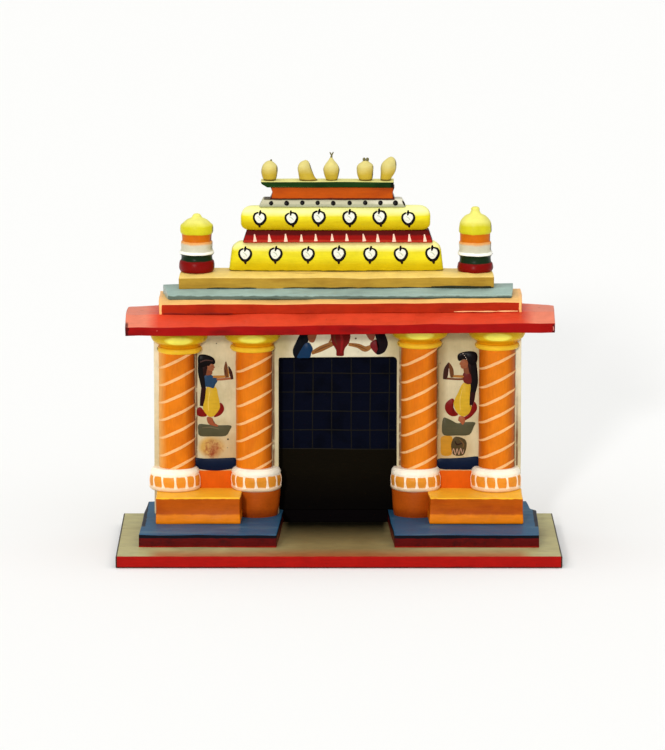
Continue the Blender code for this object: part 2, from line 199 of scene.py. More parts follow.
def make_enamel():
    """Brushed gloss enamel: streaks along the brush, thicker and thinner pools, and dark flecks."""
    takes = [
        ("Paint", "NodeSocketColor", (0.5, 0.5, 0.5, 1.0)),
        ("Run", "NodeSocketVector", (0.12, 1.0, 1.0)),
        ("Streaks", "NodeSocketFloat", 0.3),
        ("Flecks", "NodeSocketFloat", 0.3),
        ("Gloss", "NodeSocketFloat", 0.3),
    ]
    gives = [("Colour", "NodeSocketColor"), ("Roughness", "NodeSocketFloat"), ("Height", "NodeSocketFloat")]
    tree, taken, given = new_group("brushed_enamel", takes, gives)

    def swing(value, share):
        return sum_up(tree, "MULTIPLY", sum_up(tree, "SUBTRACT", value, 0.5), share)

    def tinted(value, saturation):
        inputs = {"Hue": 0.5, "Saturation": saturation, "Value": value, "Color": taken["Paint"]}
        return add(tree, "ShaderNodeHueSaturation", inputs).outputs[0]

    place = millimetres(tree)
    streaks = clouds(tree, place, 1.3, 3.0, taken["Run"])
    pools = clouds(tree, place, 0.16, 2.0)
    specks = clouds(tree, place, 1.15, 1.0)
    tone = sum_up(tree, "ADD", sum_up(tree, "ADD", swing(streaks, taken["Streaks"]), swing(pools, 0.34)), 1.0)
    fleck = sum_up(tree, "MULTIPLY", sum_up(tree, "SUBTRACT", specks, 0.73), 22.0, clamp=True)
    fleck = sum_up(tree, "MULTIPLY", fleck, taken["Flecks"])
    rough = sum_up(tree, "MULTIPLY", sum_up(tree, "ADD", streaks, pools), 0.10)
    feed(tree, given["Colour"], mixed(tree, tinted(tone, 1.0), tinted(0.30, 0.9), fleck))
    feed(tree, given["Roughness"], sum_up(tree, "ADD", rough, taken["Gloss"]))
    feed(tree, given["Height"], sum_up(tree, "ADD", sum_up(tree, "MULTIPLY", streaks, 0.35), pools))
    return tree


def make_hand_edge():
    """How far a value is past a limit, as a mask whose edge wavers like the edge of a brush."""
    labels = (("Value", 0.0), ("Limit", 0.0), ("Soft", 0.2), ("Waver", 0.2))
    takes = [(label, "NodeSocketFloat", value) for label, value in labels]
    tree, taken, given = new_group("hand_edge", takes, [("Mask", "NodeSocketFloat")])
    wave = sum_up(tree, "SUBTRACT", clouds(tree, millimetres(tree), 0.22, 2.0), 0.5)
    wave = sum_up(tree, "MULTIPLY", sum_up(tree, "MULTIPLY", wave, 3.0), taken["Waver"])
    past = sum_up(tree, "SUBTRACT", sum_up(tree, "ADD", taken["Value"], wave), taken["Limit"])
    mask = sum_up(tree, "ADD", sum_up(tree, "DIVIDE", past, taken["Soft"]), 0.5, clamp=True)
    feed(tree, given["Mask"], mask)
    return tree


class Finish:
    """A paint finish in the making: layers of colour laid over a ground through masks.

    Colours are as they look on screen, 0 to 255. A mask's edge is as soft as soft says, and wavers by waver.
    """

    def __init__(self, name, ground):
        self.material = bpy.data.materials.new(name)
        self.material.use_nodes = True
        self.tree = self.material.node_tree
        self.x, self.y, self.z = add(self.tree, "ShaderNodeSeparateXYZ", {0: millimetres(self.tree)}).outputs
        normal = add(self.tree, "ShaderNodeNewGeometry").outputs["Normal"]
        self.facing = add(self.tree, "ShaderNodeSeparateXYZ", {0: normal}).outputs
        self.colour = shade(*ground)

    def math(self, operation, *values):
        """The result of one Math node in this finish."""
        return sum_up(self.tree, operation, *values)

    def ramp(self, value, limit, steep):
        """Mask that grows from nothing at a limit."""
        return sum_up(self.tree, "MULTIPLY", self.math("SUBTRACT", value, limit), steep, clamp=True)

    def past(self, value, limit, soft=0.2, waver=0.2):
        """Mask of where a value is past a limit."""
        edge = add(self.tree, "ShaderNodeGroup", node_tree=HAND_EDGE)
        for label, given in (("Value", value), ("Limit", limit), ("Soft", soft), ("Waver", waver)):
            feed(self.tree, edge.inputs[label], given)
        return edge.outputs[0]

    def below(self, value, limit, soft=0.2, waver=0.2):
        """Mask of where a value is under a limit."""
        return self.math("SUBTRACT", 1.0, self.past(value, limit, soft, waver))

    def outside(self, value, middle, limit, soft=0.2, waver=0.2):
        """Mask of what is further than a limit from a middle, on either side."""
        off = self.math("ABSOLUTE", self.math("SUBTRACT", value, middle))
        return self.past(off, limit, soft, waver)

    def within(self, value, middle, limit, soft=0.2, waver=0.2):
        """Mask of what is nearer to a middle than a limit, on either side."""
        return self.math("SUBTRACT", 1.0, self.outside(value, middle, limit, soft, waver))

    def oval(self, middle, reach, soft, waver):
        """Mask of an upright oval with a hand-painted edge, seen from the front."""
        parts = []
        for value, centre, half in zip((self.x, self.z), middle, reach):
            share = self.math("DIVIDE", self.math("SUBTRACT", value, centre), half)
            parts.append(self.math("MULTIPLY", share, share))
        return self.below(self.math("ADD", *parts), 1.0, soft, waver)

    def upward(self, limit=0.6, steep=8.0):
        """Mask of the faces that look up."""
        return self.ramp(self.facing[2], limit, steep)

    def sideways(self, limit):
        """Mask of the faces that look left or right."""
        return self.ramp(self.math("ABSOLUTE", self.facing[0]), limit, 8.0)

    def turned_to(self, side, limit, steep):
        """Mask of the faces that turn to the right (1) or to the left (-1)."""
        return self.ramp(self.math("MULTIPLY", self.facing[0], side), limit, steep)

    def right_side(self, limit=0.9):
        """Mask of a thin broken line down the right side of a round piece."""
        return self.both(self.ramp(self.facing[0], limit, 14.0), self.patchy(0.35, 0.32))

    def patchy(self, scale, limit, spread=6.0, stretch=None):
        """Mask of loose patches, such as thin or worn paint."""
        return self.ramp(clouds(self.tree, millimetres(self.tree), scale, 3.0, stretch), limit, spread)

    def both(self, first, second):
        """Mask of where two masks meet."""
        return self.math("MULTIPLY", first, second)

    def lay(self, colour, mask, strength=1.0):
        """Lays a colour over what is there, through a mask."""
        if strength < 1.0:
            mask = self.math("MULTIPLY", mask, strength)
        self.colour = mixed(self.tree, self.colour, shade(*colour), mask)

    def done(self, run=(0.12, 1.0, 1.0), streaks=0.3, flecks=0.3, gloss=0.22, relief=0.25, shine=0.07):
        """Ends the finish with brushed enamel over the laid colours."""
        enamel = add(self.tree, "ShaderNodeGroup", node_tree=ENAMEL)
        values = {"Paint": self.colour, "Run": run, "Streaks": streaks, "Flecks": flecks, "Gloss": gloss}
        for label, value in values.items():
            feed(self.tree, enamel.inputs[label], value)
        height = {"Strength": relief, "Distance": BRUSH_RELIEF, "Height": enamel.outputs["Height"]}
        shader = self.tree.nodes["Principled BSDF"].inputs
        feed(self.tree, shader["Base Color"], enamel.outputs["Colour"])
        feed(self.tree, shader["Roughness"], enamel.outputs["Roughness"])
        feed(self.tree, shader["Normal"], add(self.tree, "ShaderNodeBump", height).outputs[0])
        feed(self.tree, shader["Specular IOR Level"], shine)
        return self.material


ENAMEL = make_enamel()
HAND_EDGE = make_hand_edge()


# Mesh helpers


def finish_mesh(name, builder, coat, smooth=38.0):
    """Turns a mesh built in millimetres into a piece in metres, shaded smooth up to an angle."""
    bmesh.ops.recalc_face_normals(builder, faces=builder.faces)
    bmesh.ops.scale(builder, vec=(MM, MM, MM), verts=builder.verts)
    mesh = bpy.data.meshes.new(name)
    builder.to_mesh(mesh)
    builder.free()
    mesh.shade_smooth()
    mesh.set_sharp_from_angle(angle=math.radians(smooth))
    mesh.materials.append(coat)
    piece = bpy.data.objects.new(name, mesh)
    bpy.context.scene.collection.objects.link(piece)
    return piece


def settle(piece):
    """Turns a piece's modifiers into plain mesh."""
    graph = bpy.context.evaluated_depsgraph_get()
    mesh = bpy.data.meshes.new_from_object(piece.evaluated_get(graph), depsgraph=graph)
    mesh.name = piece.name
    piece.modifiers.clear()
    piece.data = mesh
    return piece


def even_shading(piece):
    """Keeps big flat faces flat in the light beside their rounded edges."""
    weigh = piece.modifiers.new("even", "WEIGHTED_NORMAL")
    weigh.keep_sharp = True
    weigh.weight = 80
    return settle(piece)


def hand_shift(point, seed, amount):
    """A small slow shift of a point, as of wood cut by hand."""
    drift = noise.noise_vector(Vector(point) * 0.06 + Vector((seed * 7.3, seed * 3.1, seed * 1.7)))
    return drift * amount


def join_rings(builder, rings, peak=None):
    """Walls between closed rings of the same count, a flat end below, and a flat end or a peak on top."""
    for lower, upper in zip(rings, rings[1:]):
        for index in range(len(lower)):
            after = (index + 1) % len(lower)
            builder.faces.new((lower[index], lower[after], upper[after], upper[index]))
    builder.faces.new(rings[0][::-1])
    top = rings[-1]
    if peak is None:
        builder.faces.new(top)
    else:
        for here, after in zip(top, top[1:] + top[:1]):
            builder.faces.new((here, after, peak))


def split_wide_faces(builder, method="BEAUTY"):
    """Splits faces of more than four corners into triangles."""
    wide = [face for face in builder.faces if len(face.verts) > 4]
    bmesh.ops.triangulate(builder, faces=wide, ngon_method=method)


def loft(name, layers, coat, rounding, spacing=9.0, waver=0.0, seed=0):
    """A closed solid through outlines of 3D points, one after the other, with sides that waver a little."""
    builder = bmesh.new()
    first = [Vector(point) for point in layers[0]]
    count = len(first)
    rings = []
    for layer in layers:
        ring = []
        for index in range(count):
            here, after = Vector(layer[index]), Vector(layer[(index + 1) % count])
            steps = max(1, round((first[(index + 1) % count] - first[index]).length / spacing))
            for step in range(steps):
                point = here.lerp(after, step / steps)
                ring.append(builder.verts.new(point + hand_shift(point, seed, waver)))
        rings.append(ring)
    join_rings(builder, rings)
    builder.normal_update()
    sharp = [edge for edge in builder.edges if edge.is_manifold and edge.calc_face_angle(0) > SHARP_EDGE]
    bmesh.ops.bevel(
        builder, geom=sharp, offset=rounding, segments=3, profile=0.5, affect="EDGES", clamp_overlap=True
    )
    split_wide_faces(builder, "EAR_CLIP")
    return even_shading(finish_mesh(name, builder, coat))


def flat_layers(plans):
    """Layers of 3D points from plans, each an outline of (x, y) and a height or a height over x."""
    layers = []
    for plan, height in plans:
        layers.append([(x, y, height(x) if callable(height) else height) for x, y in plan])
    return layers


def upright_layers(outline, front, back):
    """Layers of 3D points for a board whose outline is seen from the front."""
    return [[(x, front, z) for x, z in outline], [(x, back, z) for x, z in outline]]


def on_slope(level):
    """Height over X of one side of a roof board, as a function."""
    height, rise = level
    return lambda x: height + rise * x


def curve_through(points, parts, closed=False):
    """Points on a smooth curve through the given ones; a point given twice stays a corner."""
    points = [Vector(point) for point in points]
    count = len(points)
    out = []
    for index in range(count if closed else count - 1):
        near = [index + k for k in (-1, 0, 1, 2)]
        near = [k % count if closed else min(max(k, 0), count - 1) for k in near]
        before, start, end, after = (points[k] for k in near)
        if (end - start).length < 1e-6:
            continue
        for part in range(parts):
            t = part / parts
            bend = (end - before) * t + (2 * before - 5 * start + 4 * end - after) * t * t
            bend += (3 * start - before - 3 * end + after) * t * t * t
            out.append(start + bend * 0.5)
    if not closed:
        out.append(points[-1])
    return out


def turned(name, profile, axis, coat, waver, seed, half=False, parts=3):
    """A turned piece about an upright axis; the profile of (radius, height) runs from top to bottom."""
    builder = bmesh.new()
    line = curve_through([(radius, height, 0.0) for radius, height in profile], parts)
    turn = HALF_TURN if half else math.tau
    count = TURN_STEPS + 1 if half else TURN_STEPS
    rows = []
    for radius, height, _ in line:
        if radius < 0.01:
            rows.append([builder.verts.new((axis[0], axis[1] + (SUNK if half else 0.0), height))])
            continue
        row = []
        for step in range(count):
            angle = turn * (step / TURN_STEPS - 0.5)
            spot = Vector((math.sin(angle), -math.cos(angle), 0.0))
            drift = noise.noise(Vector((spot.x * 1.3 + seed * 5.1, spot.y * 1.3, height * 0.12)))
            reach = radius + waver * drift
            row.append(builder.verts.new((axis[0] + spot.x * reach, axis[1] + spot.y * reach, height)))
        rows.append(row)
    for upper, lower in zip(rows, rows[1:]):
        for step in range(count - 1 if half else count):
            after = (step + 1) % count
            corners = [upper[step % len(upper)], upper[after % len(upper)]]
            corners = list(dict.fromkeys(corners + [lower[after % len(lower)], lower[step % len(lower)]]))
            if len(corners) > 2:
                builder.faces.new(corners)
    if half:
        builder.faces.new([row[0] for row in rows] + [row[-1] for row in rows if len(row) > 1][::-1])
        split_wide_faces(builder, "EAR_CLIP")
    return finish_mesh(name, builder, coat, 42.0)


# Raised strokes of paint


def on_plan(place):
    """A point or a point with a width as a flat point."""
    return Vector((place[0], place[1]))


class Brush:
    """Raised strokes and patches of paint on a plane, gathered in one mesh; each face keeps its colour.

    Points are (x, z) on the plane; paint stands out towards -Y from a given front.
    """

    def __init__(self, origin=(0.0, 0.0), scale=(1.0, 1.0), front=0.0):
        self.builder = bmesh.new()
        self.ink = self.builder.faces.layers.float_color.new(INK)
        self.origin, self.scale, self.front = origin, scale, front
        self.level = 0

    def vert(self, point, out):
        x = self.origin[0] + point[0] * self.scale[0]
        z = self.origin[1] + point[1] * self.scale[1]
        return self.builder.verts.new((x, self.front - out, z))

    def face(self, verts, colour):
        made = self.builder.faces.new(verts)
        made[self.ink] = colour

    def skin(self, rows, colour):
        """Faces between closed rows of points, and flat ends."""
        for lower, upper in zip(rows, rows[1:]):
            for index in range(len(lower)):
                after = (index + 1) % len(lower)
                self.face((lower[index], lower[after], upper[after], upper[index]), colour)
        self.face(rows[0][::-1], colour)
        self.face(rows[-1], colour)

    def lift(self, height):
        """Later paint lies a little higher, so that it covers what is under it."""
        self.level += 1
        return height + 0.004 * self.level

    def patch(self, outline, colour, height, parts=3, rim=0.12, inner_rows=0):
        """A patch of paint inside a closed outline; inner rows let a round patch bend with its carrier."""
        flat = [Vector((x, y, 0.0)) for x, y in outline]
        line = [on_plan(point) for point in curve_through(flat, parts, True)]
        count = len(line)
        after = line[1:] + line[:1]
        turn = math.copysign(1.0, sum(here.x * there.y - there.x * here.y for here, there in zip(line, after)))
        inner = []
        for index in range(count):
            along = (after[index] - line[index - 1]).normalized()
            inner.append(line[index] + Vector((-along.y, along.x)) * turn * rim)
        height = self.lift(height)
        rows = [[self.vert(point, out) for point in line] for out in (FOOT, height * 0.6)]
        rows.append([self.vert(point, height) for point in inner])
        middle = sum(inner, Vector((0.0, 0.0))) / count
        for row in range(inner_rows):
            share = 1 - (row + 1) / (inner_rows + 1)
            rows.append([self.vert(middle.lerp(point, share), height) for point in inner])
        self.skin(rows, colour)

    def stroke(self, path, widths, colour, height=0.14, parts=4):
        """A brush stroke along a path, as wide at each point as its width says."""
        spots = curve_through([(*point, width) for point, width in zip(path, widths)], parts)
        height = self.lift(height)
        low = 0.55 * height
        section = ((1.0, FOOT), (0.92, low), (0.5, height), (-0.5, height), (-0.92, low), (-1.0, FOOT))
        rows = []
        for index, spot in enumerate(spots):
            before, after = spots[max(index - 1, 0)], spots[min(index + 1, len(spots) - 1)]
            along = on_plan(after) - on_plan(before)
            across = Vector((-along.y, along.x)).normalized()
            half = max(spot.z, 0.08) / 2
            rows.append([self.vert(on_plan(spot) + across * half * side, out) for side, out in section])
        self.skin(rows, colour)

    def dot(self, centre, radius, colour, height=0.12):
        """A round dab of paint."""
        angles = [math.tau * k / 10 for k in range(10)]
        ring = [(centre[0] + radius * math.cos(a), centre[1] + radius * math.sin(a)) for a in angles]
        self.patch(ring, colour, height, parts=2, rim=min(0.12, radius * 0.4))

    def done(self, name, coat):
        split_wide_faces(self.builder, "EAR_CLIP")
        return finish_mesh(name, self.builder, coat, smooth=50.0)


def make_row_tree():
    """Geometry nodes that repeat a painted mark in a row, with a shaky hand, and press it on its carrier.

    A mark lies on the plane Y = 0. On a round carrier its X is the way round the axis.
    """
    tree = bpy.data.node_groups.new("painted_row", "GeometryNodeTree")
    sockets = [
        ("Mark", "Object"), ("Carrier", "Object"), ("Count", "Int"), ("Start", "Vector"), ("Step", "Vector"),
        ("Shake", "Vector"), ("Turn", "Float"), ("Size Shake", "Float"), ("Seed", "Int"), ("Round", "Bool"),
        ("Axis", "Vector"), ("Radius", "Float"), ("Coat", "Material"),
    ]
    for label, kind in sockets:
        tree.interface.new_socket(name=label, in_out="INPUT", socket_type="NodeSocket" + kind)
    tree.interface.new_socket(name="Geometry", in_out="OUTPUT", socket_type="NodeSocketGeometry")
    taken, given = tree.nodes.new("NodeGroupInput").outputs, tree.nodes.new("NodeGroupOutput")

    def made(kind, inputs=None, out=0, **settings):
        return add(tree, kind, inputs, **settings).outputs[out]

    def chance(seed_step):
        """A random value between -1 and 1 for each mark."""
        seed = sum_up(tree, "ADD", taken["Seed"], seed_step)
        return made("FunctionNodeRandomValue", {2: -1.0, 3: 1.0, "Seed": seed}, 1, data_type="FLOAT")

    def either(flat, curved):
        """One value for a flat carrier, another for a round one."""
        return made("GeometryNodeSwitch", {0: taken["Round"], 1: flat, 2: curved}, input_type="VECTOR")

    mark = made("GeometryNodeObjectInfo", {"Object": taken["Mark"]}, "Geometry")
    carrier = made("GeometryNodeObjectInfo", {"Object": taken["Carrier"]}, "Geometry")
    inputs = {"Count": taken["Count"], "Start Location": taken["Start"], "Offset": taken["Step"]}
    line = made("GeometryNodeMeshLine", inputs)
    inputs = {0: (-1.0,) * 3, 1: (1.0,) * 3, "Seed": taken["Seed"]}
    shake = made("FunctionNodeRandomValue", inputs, data_type="FLOAT_VECTOR")
    off = vectors(tree, "MULTIPLY", shake, taken["Shake"])
    spots = made("GeometryNodeSetPosition", {"Geometry": line, "Offset": off})
    angle = made("ShaderNodeCombineXYZ", {1: sum_up(tree, "MULTIPLY", chance(7.0), taken["Turn"])})
    size = sum_up(tree, "ADD", sum_up(tree, "MULTIPLY", chance(13.0), taken["Size Shake"]), 1.0)
    inputs = {"Points": spots, "Instance": mark, "Rotation": angle, "Scale": size}
    marks = made("GeometryNodeRealizeInstances", {0: made("GeometryNodeInstanceOnPoints", inputs)})
    x, y, z = add(tree, "ShaderNodeSeparateXYZ", {0: made("GeometryNodeInputPosition")}).outputs
    turn = sum_up(tree, "DIVIDE", x, taken["Radius"])
    forward = sum_up(tree, "MULTIPLY", sum_up(tree, "COSINE", turn), -1.0)
    round_way = made("ShaderNodeCombineXYZ", {0: sum_up(tree, "SINE", turn), 1: forward})
    outward = either((0.0, -1.0, 0.0), round_way)
    round_foot = vectors(tree, "ADD", taken["Axis"], made("ShaderNodeCombineXYZ", {2: z}))
    foot = either(made("ShaderNodeCombineXYZ", {0: x, 2: z}), round_foot)
    source = vectors(tree, "ADD", foot, vectors(tree, "SCALE", outward, RAY_START))
    inward = vectors(tree, "SCALE", outward, -1.0)
    inputs = {"Target Geometry": carrier, "Source Position": source, "Ray Direction": inward, "Ray Length": 1.0}
    ray = add(tree, "GeometryNodeRaycast", inputs).outputs
    pressed = vectors(tree, "ADD", ray["Hit Position"], vectors(tree, "SCALE", inward, y))
    inputs = {"Geometry": marks, "Selection": ray["Is Hit"], "Position": pressed}
    laid = made("GeometryNodeSetPosition", inputs)
    feed(tree, given.inputs[0], made("GeometryNodeSetMaterial", {"Geometry": laid, "Material": taken["Coat"]}))
    return tree


def paint_row(mark, name, carrier, count, start, step, shake, turn, seed, size=0.0, axis=None, radius=1.0):
    """A row of one mark on a carrier, made by the geometry nodes and turned into plain mesh."""
    piece = bpy.data.objects.new(name, bpy.data.meshes.new(name))
    bpy.context.scene.collection.objects.link(piece)
    row = piece.modifiers.new("row", "NODES")
    row.node_group = ROW_TREE
    values = {
        "Mark": mark, "Carrier": carrier, "Count": count, "Seed": seed, "Coat": STROKES,
        "Start": Vector(start) * MM, "Step": Vector(step) * MM, "Shake": Vector(shake) * MM,
        "Turn": math.radians(turn), "Size Shake": size, "Round": axis is not None,
        "Axis": Vector((*(axis or (0.0, 0.0)), 0.0)) * MM, "Radius": radius * MM,
    }
    for item in ROW_TREE.interface.items_tree:
        if item.in_out == "INPUT":
            value = values[item.name]
            row[item.identifier] = value[:] if isinstance(value, Vector) else value
    piece.update_tag()
    bpy.context.view_layer.update()
    settle(piece)
    piece.data.shade_smooth()
    piece.data.set_sharp_from_angle(angle=math.radians(50))
    return piece


def lay_rows(mark, slot, *rows):
    """Lays rows of a mark, then takes the mark itself out of the scene."""
    for row in rows:
        belongs(paint_row(mark, **row), slot)
    bpy.data.objects.remove(mark, do_unlink=True)


def belongs(piece, slot, *nodes):
    """A piece rides with the gateway and may stand for solids; its slot is not used."""
    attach(piece, ROOT)
    if nodes:
        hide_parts(*nodes)
    return piece


# Paints


BLACK = shade(10, 8, 8)
MAROON = (88, 8, 8)


def stroke_finish():
    """Strokes take their colour from their faces."""
    coat = Finish("stroke_paint", (0, 0, 0))
    coat.colour = add(coat.tree, "ShaderNodeAttribute", attribute_name=INK).outputs["Color"]
    return coat.done(streaks=0.35, flecks=0.0, relief=0.2, shine=0.06)


def base_finish():
    """Olive top with the doorway's dark shadow, a red front edge and dark ends."""
    coat = Finish("olive_and_red", (182, 175, 125))
    coat.lay((150, 140, 96), coat.patchy(0.09, 0.5, 3.0, (0.4, 1.0, 1.0)))
    coat.lay((138, 118, 74), coat.within(coat.x, -2.0, 34.0, 40.0, 3.0), 0.85)
    shadow = coat.both(coat.within(coat.x, -1.5, 24.0, 5.0, 1.0), coat.past(coat.y, 0.0, 44.0, 2.0))
    coat.lay((22, 20, 11), shadow)
    lap = coat.both(coat.below(coat.y, -38.0, 14.0, 1.0), coat.within(coat.x, 0.0, 84.0, 6.0))
    coat.lay((168, 84, 44), lap, 0.75)
    coat.lay((156, 10, 4), coat.below(coat.y, -48.0, 0.25, 0.3))
    coat.lay((84, 14, 8), coat.both(coat.below(coat.y, -48.0, 0.25, 0.1), coat.below(coat.z, 0.5, 0.3, 0.2)))
    for side, lean in ((1.0, 0.0113), (-1.0, 0.0041)):
        reach = coat.math("MULTIPLY_ADD", coat.y, lean, coat.math("MULTIPLY", coat.x, side))
        coat.lay((44, 36, 28), coat.past(reach, 99.35 - BASE_DEPTH * lean, 0.3, 0.1))
    coat.lay((110, 100, 80), coat.past(coat.y, 48.0, 0.3, 0.1))
    return coat.done(streaks=0.45, flecks=0.5, gloss=0.3)


def plinth_finish():
    """Maroon sides with a black lap under a blue top."""
    coat = Finish("blue_and_maroon", MAROON)
    coat.lay((56, 8, 10), coat.patchy(0.2, 0.52, 4.0))
    coat.lay((150, 22, 10), coat.below(coat.z, 5.75, 0.3, 0.25))
    coat.lay((10, 8, 20), coat.past(coat.z, 9.4, 0.2, 0.3))
    coat.lay((40, 88, 122), coat.upward())
    # Paler patches on the blue top: painted highlight, laid unevenly
    coat.lay((82, 118, 138), coat.both(coat.upward(), coat.patchy(0.14, 0.5, 3.0, ALONG)))
    far_edge = coat.both(coat.outside(coat.x, 0.6, 88.4, 0.3, 0.3), coat.past(coat.y, -10.0, 1.0, 0.0))
    coat.lay((16, 18, 36), coat.both(coat.upward(), far_edge))
    return coat.done(streaks=0.5, flecks=0.25, gloss=0.28)


def threshold_finish():
    """Nearly black in the doorway, a painted shadow, and the plinth's paints where it comes out behind."""
    # Near-black ground: painted shadow on the strip deep in the doorway
    coat = Finish("threshold_dark", (6, 3, 4))
    coat.lay((46, 74, 108), coat.both(coat.upward(), coat.past(coat.y, 33.0, 0.4, 0.2)))
    coat.lay(MAROON, coat.past(coat.y, 47.3, 0.1, 0.0))
    return coat.done(streaks=0.5, flecks=0.2, gloss=0.5, shine=0.02)


def bench_finish():
    coat = Finish("bench_orange", (184, 82, 6))
    worn = coat.patchy(0.2, 0.5, 4.0, (0.25, 1.0, 1.0))
    coat.lay((166, 66, 4), coat.both(worn, coat.past(coat.z, 15.6, 0.8, 0.4)))
    # Paler band low on the front: painted light on the swelling foot
    coat.lay((226, 122, 8), coat.below(coat.z, 15.4, 0.8, 0.4))
    # Bright top: partly its own paint, partly a painted highlight
    coat.lay((255, 192, 48), coat.past(coat.z, 22.6, 0.4, 0.3))
    return coat.done(flecks=0.2)


def drum_finish():
    coat = Finish("drum_orange", (176, 78, 14))
    coat.lay((112, 34, 8), coat.below(coat.z, 14.0, 3.0, 0.8), 0.6)
    return coat.done(streaks=0.35, gloss=0.24)


def wall_finish():
    """Cream, browner beside the columns and low down as painted shade, with painted shadow under the eave and beside
    the shafts, painted light over the door, and an orange foot between the rings.
    """
    coat = Finish("wall_cream", (206, 193, 154))
    middle = -0.5
    coat.lay((180, 167, 126), coat.patchy(0.10, 0.5, 3.0))
    # Paler over the door: painted light against the eave's shadow
    over_door = coat.both(coat.past(coat.z, 82.0, 2.0, 0.5), coat.within(coat.x, middle, 20.0, 8.0, 0.5))
    coat.lay((228, 222, 190), over_door)
    coat.lay((206, 162, 76), coat.oval((-58.2, 42.2), (5.6, 4.6), 0.9, 0.2))
    # Painted shadow lines down the wall beside the shafts
    for edge in (-65.0, -29.8, 27.9, 45.4, 81.4):
        line = coat.both(coat.within(coat.x, edge, 0.45, 0.35, 0.15), coat.past(coat.z, 33.5))
        coat.lay((104, 58, 26), coat.both(line, coat.patchy(0.3, 0.3)), 0.85)
    # Painted shadow of the eave high on the wall beside the door and over the right panel
    high = coat.past(coat.z, 84.0, 12.0, 2.0)
    beside_door = coat.both(coat.outside(coat.x, middle, 22.0, 8.0), coat.within(coat.x, middle, 36.0, 6.0))
    coat.lay((170, 158, 108), coat.both(high, beside_door), 0.7)
    coat.lay((160, 144, 90), coat.both(high, coat.past(coat.x, 40.0, 4.0)), 0.5)
    # Painted shadow of the inner right shaft on the right panel
    shaft_shadow = coat.both(coat.within(coat.x, 45.6, 2.6, 4.0, 0.6), coat.past(coat.z, 33.0))
    coat.lay((146, 120, 76), shaft_shadow, 0.7)
    ends = coat.outside(coat.x, middle, 80.6, 0.6, 0.3)
    coat.lay((232, 224, 192), coat.both(ends, coat.past(coat.z, 62.0, 30.0, 2.0)))
    # Browner low on the panels between the columns: painted shade
    low = coat.both(coat.outside(coat.x, middle, 43.0, 2.0), coat.below(coat.z, 50.0, 12.0, 2.0))
    coat.lay((184, 150, 100), coat.both(low, coat.within(coat.x, middle, 60.0, 6.0)), 0.65)
    dabs = coat.both(coat.oval((-57.4, 41.2), (4.0, 4.2), 1.2, 0.3), coat.patchy(0.5, 0.46))
    coat.lay((150, 76, 44), coat.oval((-57.0, 40.8), (2.6, 3.0), 1.8, 0.3), 0.6)
    coat.lay((142, 66, 36), dabs)
    foot = coat.both(coat.outside(coat.x, middle, 44.0, 0.3, 0.0), coat.below(coat.z, 31.2, 0.4, 0.3))
    coat.lay((214, 92, 6), coat.both(foot, coat.within(coat.x, middle, 78.0, 0.3, 0.0)))
    return coat.done(run=(1.0, 1.0, 0.2), streaks=0.16, flecks=0.4, gloss=0.3)


def door_finish():
    """Dark blue over dark brown in the doorway, plain wood at the back."""
    coat = Finish("door_dark", (6, 9, 24))
    coat.lay((2, 3, 8), coat.patchy(0.12, 0.5, 3.0))
    coat.lay((16, 12, 5), coat.below(coat.z, 39.6, 0.5, 0.3))
    # Darker towards the foot: painted shade deep in the doorway
    coat.lay((5, 3, 2), coat.below(coat.z, 22.0, 16.0, 2.0))
    coat.lay((176, 140, 92), coat.past(coat.y, 28.6, 0.2, 0.1))
    return coat.done(streaks=0.5, flecks=0.2, gloss=0.5, shine=0.02)


def ring_finish():
    coat = Finish("ring_white_and_orange", (226, 144, 44))
    coat.lay((240, 208, 170), coat.below(coat.z, 25.1, 0.4, 0.3))
    coat.lay((255, 246, 224), coat.past(coat.z, 30.0, 0.5, 0.35))
    return coat.done(streaks=0.2, flecks=0.1, gloss=0.2)


def shaft_finish():
    """Orange, darker round the sides as painted shade, with a painted shadow line down the right edge, and paler on
    the outer left shaft's lit side.
    """
    coat = Finish("shaft_orange", (222, 120, 16))
    coat.lay((206, 98, 8), coat.patchy(0.10, 0.48, 3.0, (1.0, 1.0, 0.5)))
    # Painted shade round the sides
    coat.lay((160, 70, 8), coat.turned_to(1.0, 0.45, 2.2), 0.75)
    coat.lay((170, 78, 10), coat.both(coat.turned_to(-1.0, 0.5, 2.2), coat.past(coat.x, 0.0)), 0.7)
    coat.lay((236, 178, 92), coat.both(coat.turned_to(-1.0, 0.55, 2.5), coat.below(coat.x, -60.0)), 0.7)
    # Painted shadow line down the right edge
    coat.lay((80, 34, 10), coat.right_side(0.93), 0.8)
    return coat.done(run=(1.0, 1.0, 0.15), flecks=0.15, gloss=0.24)


def capital_finish(name, middle, neck):
    """Yellow with a pale lens on the bowl as a painted highlight, an orange hollow over the neck, a painted shadow of
    the eave on top and painted shade at the sides.
    """
    coat = Finish(name, (214, 176, 26))
    # Pale lens: painted highlight on the bowl below the eave's shadow
    coat.lay((246, 238, 96), coat.oval((middle, neck + 6.9), (5.9, 1.9), 0.7, 0.15))
    hollow = coat.both(coat.past(coat.z, neck + 2.4, 0.5, 0.2), coat.below(coat.z, neck + 4.9, 0.8, 0.3))
    coat.lay((216, 146, 10), hollow)
    coat.lay((238, 190, 44), coat.below(coat.z, neck + 2.5, 0.3, 0.15))
    # Painted shadow of the eave over the top of the bowl
    coat.lay((158, 148, 26), coat.past(coat.z, neck + 9.0, 1.0, 0.5), 0.8)
    # Painted shade at the sides of the bowl
    coat.lay((84, 66, 16), coat.both(coat.sideways(0.8), coat.patchy(0.3, 0.5)))
    return coat.done(streaks=0.2, flecks=0.12, gloss=0.2)


